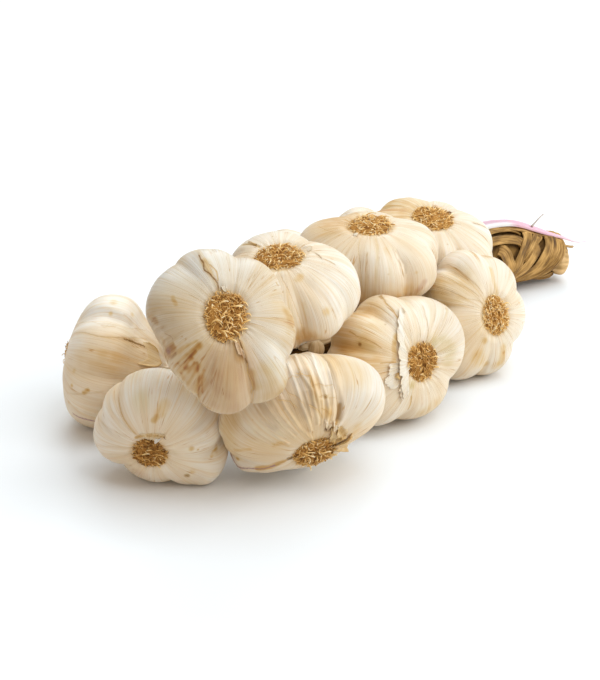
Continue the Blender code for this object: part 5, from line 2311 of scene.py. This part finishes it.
FAR_1 = Look(
    13, 0.0, shade=1.0, sleeve=4.6, specks=0, tuft=(0.0, 0.0, 0.8, 0.8), long_strands=0,
    marks=(
        # painted light: the upper side of the bulb is whitened
        Mark(((104, 0.7), (104, 1.15)), 7.0, WHITE, 0.8, 0.0, 0.2),
        Mark(((106, 0.93),), 0.75, TAN, 0.5),
        Mark(((99, 1.22),), 0.75, TAN, 0.5),
        Crack(((124, 0.93), (121, 1.02)), 0.26, TAN, 0.36),
        Mark(((185, 0.65),), 0.6, TAN, 0.75),
        Mark(((185, 0.87), (182, 0.91)), 0.7, STAIN, 0.75),
        Mark(((94, 0.93),), 1.2, WARM, 0.6),
        Mark(((171, 0.59),), 0.9, TAN, 0.5),
        Mark(((101, 0.42), (104, 0.66), (106, 0.84), (109, 1.04), (108, 1.25)), 1.7, GREY, 0.22, 0.9, 0.2),
        Crack(((107, 0.33), (121, 0.82), (117, 1.2), (101, 1.45)), 0.19, TAN, 0.3),
        Crack(((128, 0.32), (135, 0.89), (132, 1.1), (126, 1.3), (112, 1.48)), 0.24, TAN, 0.34, 0.17),
        Crack(((197, 0.57), (186, 0.87), (180, 1.08)), 0.21, TAN, 0.3, 0.12),
        Mark(((225, 0.56), (210, 0.8)), 0.55, TAN, 0.5),
        Crack(((232, 0.72), (230, 0.82), (228, 0.92), (227, 1.05)), 0.24, PURPLE, 0.95),
        Crack(((130, 1.2), (127, 1.36), (124, 1.49), (121, 1.62)), 0.32, BROWN, 0.95, 0.4),
        Mark(((140, 1.1), (138, 1.45)), 7.0, WARM, 0.3),
        Mark(((160, 0.8), (156, 1.1)), 4.5, WARM, 0.3),
        Mark(((205, 1.0),), 4.0, WARM, 0.12),
    ),
    flaps=(
        Flap(
            ((119, 1.6), (126, 1.65), (136, 1.66), (147, 1.62)),
            -0.16, (0.0, 1.4), TAN, 0.55, 0.03, 0.5, 1.0,
        ),
    ),
)

FAR_2 = Look(
    15, 0.3, columns=216,
    marks=(
        Crack(((60, 1.1), (64, 0.75), (62, 0.4)), 0.25, STAIN, 0.8, 0.17),
        Mark(((150, 0.8),), 2.6, TAN, 0.45),
        Mark(((215, 0.6), (210, 0.9)), 1.2, STAIN, 0.4),
    ),
    flaps=(
        Flap(((96, 0.5), (112, 0.42), (130, 0.48)), 0.22, (0.1, 0.9), WARM, 0.4, 0.05),
    ),
)

FAR_3 = Look(
    17, 0.25, wrinkled=(60, 140, 0.6), columns=216,
    marks=(
        Crack(((40, 1.05), (36, 0.7), (40, 0.35)), 0.25, STAIN, 0.75, 0.17),
        Mark(((170, 0.7), (176, 0.95)), 2.0, TAN, 0.45),
        Mark(((120, 0.9),), 0.7, BROWN, 0.6, 0.2),
    ),
    flaps=(
        Flap(((150, 0.32), (172, 0.28), (190, 0.33)), 0.14, (0.1, 1.1), PALE, 0.5, 0.05),
    ),
)

FAR_4 = Look(
    19, 0.3, columns=216,
    marks=(
        Crack(((118, 1.1), (112, 0.75), (116, 0.42)), 0.25, STAIN, 0.75, 0.17),
        Mark(((60, 0.75),), 3.0, TAN, 0.4),
        Mark(((160, 0.55), (165, 0.8)), 1.0, STAIN, 0.4),
    ),
    flaps=(
        Flap(((30, 0.4), (48, 0.34), (64, 0.42)), 0.16, (0.1, 0.9), WARM, 0.4, 0.04),
    ),
)

TOP_1 = Look(
    21, 0.05, shade=0.93, tuft=(1.8, 1.6, 0.92, 0.86), long_strands=14, straw=0.88,
    marks=(
        # painted highlight: the lit right side is whitened
        Mark(((174, 0.78), (160, 0.95)), 8.0, WHITE, 1.0, 0.0, 0.2),
        Mark(((220, 1.5), (226, 1.3), (234, 1.14)), 4.2, PALE, 0.0, 1.7, 0.0),
        Mark(((24, 0.55), (25, 0.46), (26, 0.36), (26, 0.27)), 0.45, STAIN, 0.6, 0.4),
        Mark(((12, 0.8), (10, 0.55)), 3.5, GREY, 0.3),
        Crack(((5, 0.62), (2, 0.42), (356, 0.26)), 0.19, TAN, 0.32, 0.1),
        Crack(((148, 0.28), (157, 0.32)), 0.22, BROWN, 0.65, 0.17),
        Crack(((160, 0.36), (164, 0.46)), 0.19, STAIN, 0.6, 0.15),
        Mark(((218, 0.29), (212, 0.27)), 1.2, TAN, 0.45),
        Crack(((247, 0.16), (236, 0.4), (232, 0.8), (230, 1.19)), 0.24, TAN, 0.3),
        Mark(((240, 0.4), (238, 0.7), (236, 1.1)), 1.0, TAN, 0.18),
        Mark(((225, 0.6), (224, 1.1)), 0.8, TAN, 0.12),
        Mark(((203, 0.4), (200, 0.62), (198, 0.8)), 3.2, GREY, 0.22, 0.5, 0.3),
        Mark(((210, 0.78),), 1.3, TAN, 0.35),
        Mark(((236, 1.1), (228, 1.25)), 4.5, WARM, 0.5),
    ),
    flaps=(
        Flap(((118, 0.26), (128, 0.28), (138, 0.26)), -0.05, (0.0, 0.4), CREAM, 0.3, 0.03, 0.5, 0.5),
        Flap(((28, 0.44), (27, 0.34), (27, 0.27)), 0.05, (0.1, 0.8), TAN, 0.5, 0.03, 0.6, 0.6),
    ),
)

TOP_2 = Look(
    23, 0.1, shade=0.95, tuft=(-0.4, 2.4, 1.0, 0.82), long_strands=12, straw=1.0,
    marks=(
        Crack(((300, 0.12), (287, 0.55), (282, 0.9), (280, 1.15)), 0.26, TAN, 0.28),
        Mark(((260, 0.15), (268, 0.6), (270, 1.1)), 0.6, TAN, 0.25, 0.1),
        # painted light: the shaded lower part of the bulb is whitened
        Mark(((265, 0.9), (285, 0.6)), 8.0, WHITE, 0.8, 0.0, 0.2),
        Mark(((278, 0.4), (276, 1.05)), 0.8, TAN, 0.15),
        Mark(((252, 0.35), (256, 1.05)), 0.8, TAN, 0.15),
        Mark(((241, 0.38), (243, 0.5), (240, 0.61), (242, 0.72), (239, 0.82)), 0.4, GREY, 0.2, 0.2, 0.3),
        Mark(((236, 0.4), (238, 0.52), (235, 0.64), (237, 0.78)), 0.4, GREY, 0.2, 0.2, 0.3),
        Mark(((228, 1.05), (224, 0.99), (222, 0.96)), 1.1, ROSE, 0.7),
        Mark(((290, 1.1), (260, 1.15), (235, 1.12)), 4.0, WARM, 0.55),
        # tan skin, and painted shade on the far-left lobe
        Mark(((60, 0.32), (15, 0.32)), 6.0, WARM, 0.7),
        Mark(((228, 0.8),), 0.6, TAN, 0.5),
        Crack(((18, 0.49), (356, 0.33)), 0.19, TAN, 0.26),
    ),
    flaps=(
        Flap(((308, 0.15), (320, 0.14)), 0.05, (0.2, 0.9), PALE, 0.5, 0.03, 0.4, 0.1),
    ),
)

TOP_3 = Look(
    25, 0.1, shade=0.94, tuft=(0.0, 1.0, 1.0, 1.0), long_strands=10, straw=0.82,
    marks=(
        # painted highlight: the lit right side is whitened
        Mark(((213, 0.5), (205, 0.76)), 8.0, WHITE, 1.1, 0.0, 0.2),
        # tan skin, and painted shade on the lobe behind the roots
        Mark(((24, 0.9), (22, 0.6)), 7.0, WARM, 0.75),
        Mark(((50, 0.42), (58, 0.85)), 8.0, TAN, 0.75),
        Mark(((30, 1.05), (14, 1.0)), 4.0, TAN, 0.45),
        Crack(((190, 0.6), (192, 0.42)), 0.31, BROWN, 0.75, 0.2),
        Crack(((250, 0.9), (255, 0.5)), 0.26, TAN, 0.24, 0.1),
        Crack(((228, 0.9), (232, 0.5)), 0.26, TAN, 0.24, 0.1),
    ),
)

BULBS = (
    Bulb(
        "front_top", (-152.7, -32.2, 82.7), 229, 37, 63, 10.9, 58,
        ((48, 0.7), (56, 1.0), (54, 0.5), (41, 0.9), (40, 1.05), (51, 0.4), (70, 0.9)), (0.07, 70), -104,
        FRONT_TOP,
    ),
    Bulb(
        "front_low", (-157.0, 2.6, 26.3), 210, -9, 56.5, 8.4, 50,
        ((100, 0.95), (42, 0.6), (63, 1.4), (63, 0.4), (59, 1.3), (33, 0.4)), (0.03, 47), -107, FRONT_LOW,
    ),
    Bulb(
        "near_1", (-117.3, -46.0, 32.5), 238, -27, 69, 9.5, 20,
        ((92, 0.9), (78, 0.95), (50, 0.6), (45, 1.0), (48, 1.0), (47, 0.55)), (0.08, -11), -92, NEAR_1,
    ),
    Bulb(
        "near_2", (-44.0, -45.5, 29.8), 252, 17, 67, 8.6, 108,
        ((105, 1.3), (72, 0.95), (50, 0.95), (50, 0.85), (40, 0.85), (43, 1.0)), (0.1, 0), -18, NEAR_2,
    ),
    Bulb(
        "near_3", (23.9, -48.0, 29.6), 249, 22, 62, 9.2, 110,
        ((53, 0.65), (67, 0.8), (51, 0.8), (54, 1.0), (45, 0.7), (45, 0.85), (45, 1.0)), (0.065, -62), 38,
        NEAR_3,
    ),
    Bulb(
        "far_1", (-129.7, 58.7, 31.2), 122, 13, 63, 9.6, 112,
        ((56, 0.85), (54, 0.85), (58, 0.95), (60, 0.85), (70, 0.85), (62, 0.8)), (0.02, -76), -96, FAR_1,
    ),
    Bulb(
        "far_2", (-65.9, 53.9, 28.6), 118, 12, 60, 9.2, 20,
        ((66, 0.9), (52, 0.7), (70, 1.0), (55, 0.8), (62, 0.95), (55, 0.75)), (0.03, 20), -35, FAR_2,
    ),
    Bulb(
        "far_3", (-4.2, 52.1, 28.5), 112, 16, 60, 9.4, 10,
        ((50, 0.8), (58, 0.95), (44, 0.6), (60, 1.0), (46, 0.85), (52, 0.7), (50, 0.9)), (0.02, 60), 24,
        FAR_3,
    ),
    Bulb(
        "far_4", (55.5, 47.9, 26.5), 100, 18, 56.5, 8.8, 35,
        ((72, 0.95), (50, 0.75), (66, 0.9), (48, 0.65), (70, 1.0), (54, 0.8)), (0.03, 100), 78, FAR_4,
    ),
    Bulb(
        "top_1", (-89.8, -17.2, 72.2), 192, 74, 64.5, 11.6, 8,
        ((92, 1.35), (88, 1.0), (42, 0.7), (50, 0.85), (45, 0.85), (43, 0.85)), (0.07, 12), -62, TOP_1,
    ),
    Bulb(
        "top_2", (-11.0, -9.0, 60.1), 220, 81, 65, 11.4, 57,
        ((76, 0.75), (54, 1.15), (50, 0.85), (51, 0.75), (62, 0.85), (67, 1.15)), (0.08, 10), 8, TOP_2,
    ),
    Bulb(
        "top_3", (52.6, -4.4, 47.1), 234, 73, 61.5, 10.2, 48,
        ((54, 1.1), (50, 0.7), (53, 0.95), (52, 0.8), (48, 0.85), (58, 0.85), (45, 1.0)), (0.16, 36), 84,
        TOP_3,
    ),
)


def main() -> None:
    """Builds the bulbs with their roots, then the stems, then the studio."""
    logging.basicConfig(level=logging.INFO, format="%(message)s")
    plait = Plait()
    paper, roots = PaperSkin().material(), DryRoot().material()
    leaf, rosy = DryLeaf().material(), RosySheath().material()
    # a near-black leaf finish that paints the shade inside the plait and in the hollow between the near
    # bulbs
    inner = DryLeaf("inner_leaf_painted_shade", 0.95, (0.03, 0.012, 0.003), (0.09, 0.04, 0.008), (0.20, 0.10, 0.022))
    pale = DryLeaf("pale_leaf", 0.6, (0.50, 0.32, 0.14), (0.76, 0.56, 0.32), (0.86, 0.70, 0.46))
    end = DryLeaf("end_leaf", 0.62, (0.13, 0.060, 0.017), (0.44, 0.255, 0.085), (0.74, 0.47, 0.21))
    dark = inner.material()
    for bulb in BULBS:
        skin = BulbSkin(bulb, plait)
        skin.build(paper)
        if bulb.look.flaps:
            SkinFlaps(skin).build(paper)
        RootTuft(bulb).build(roots)
    for number in range(3):
        StemStrand(plait, number).build(leaf)
    HollowLeaves().build(pale.material(), dark)
    WoundLeaves(plait).build(leaf, dark)
    FoldedEnd(plait).build(end.material())
    PinkSheath(plait).build(rosy)
    Studio().build()


if __name__ == "__main__":
    main()
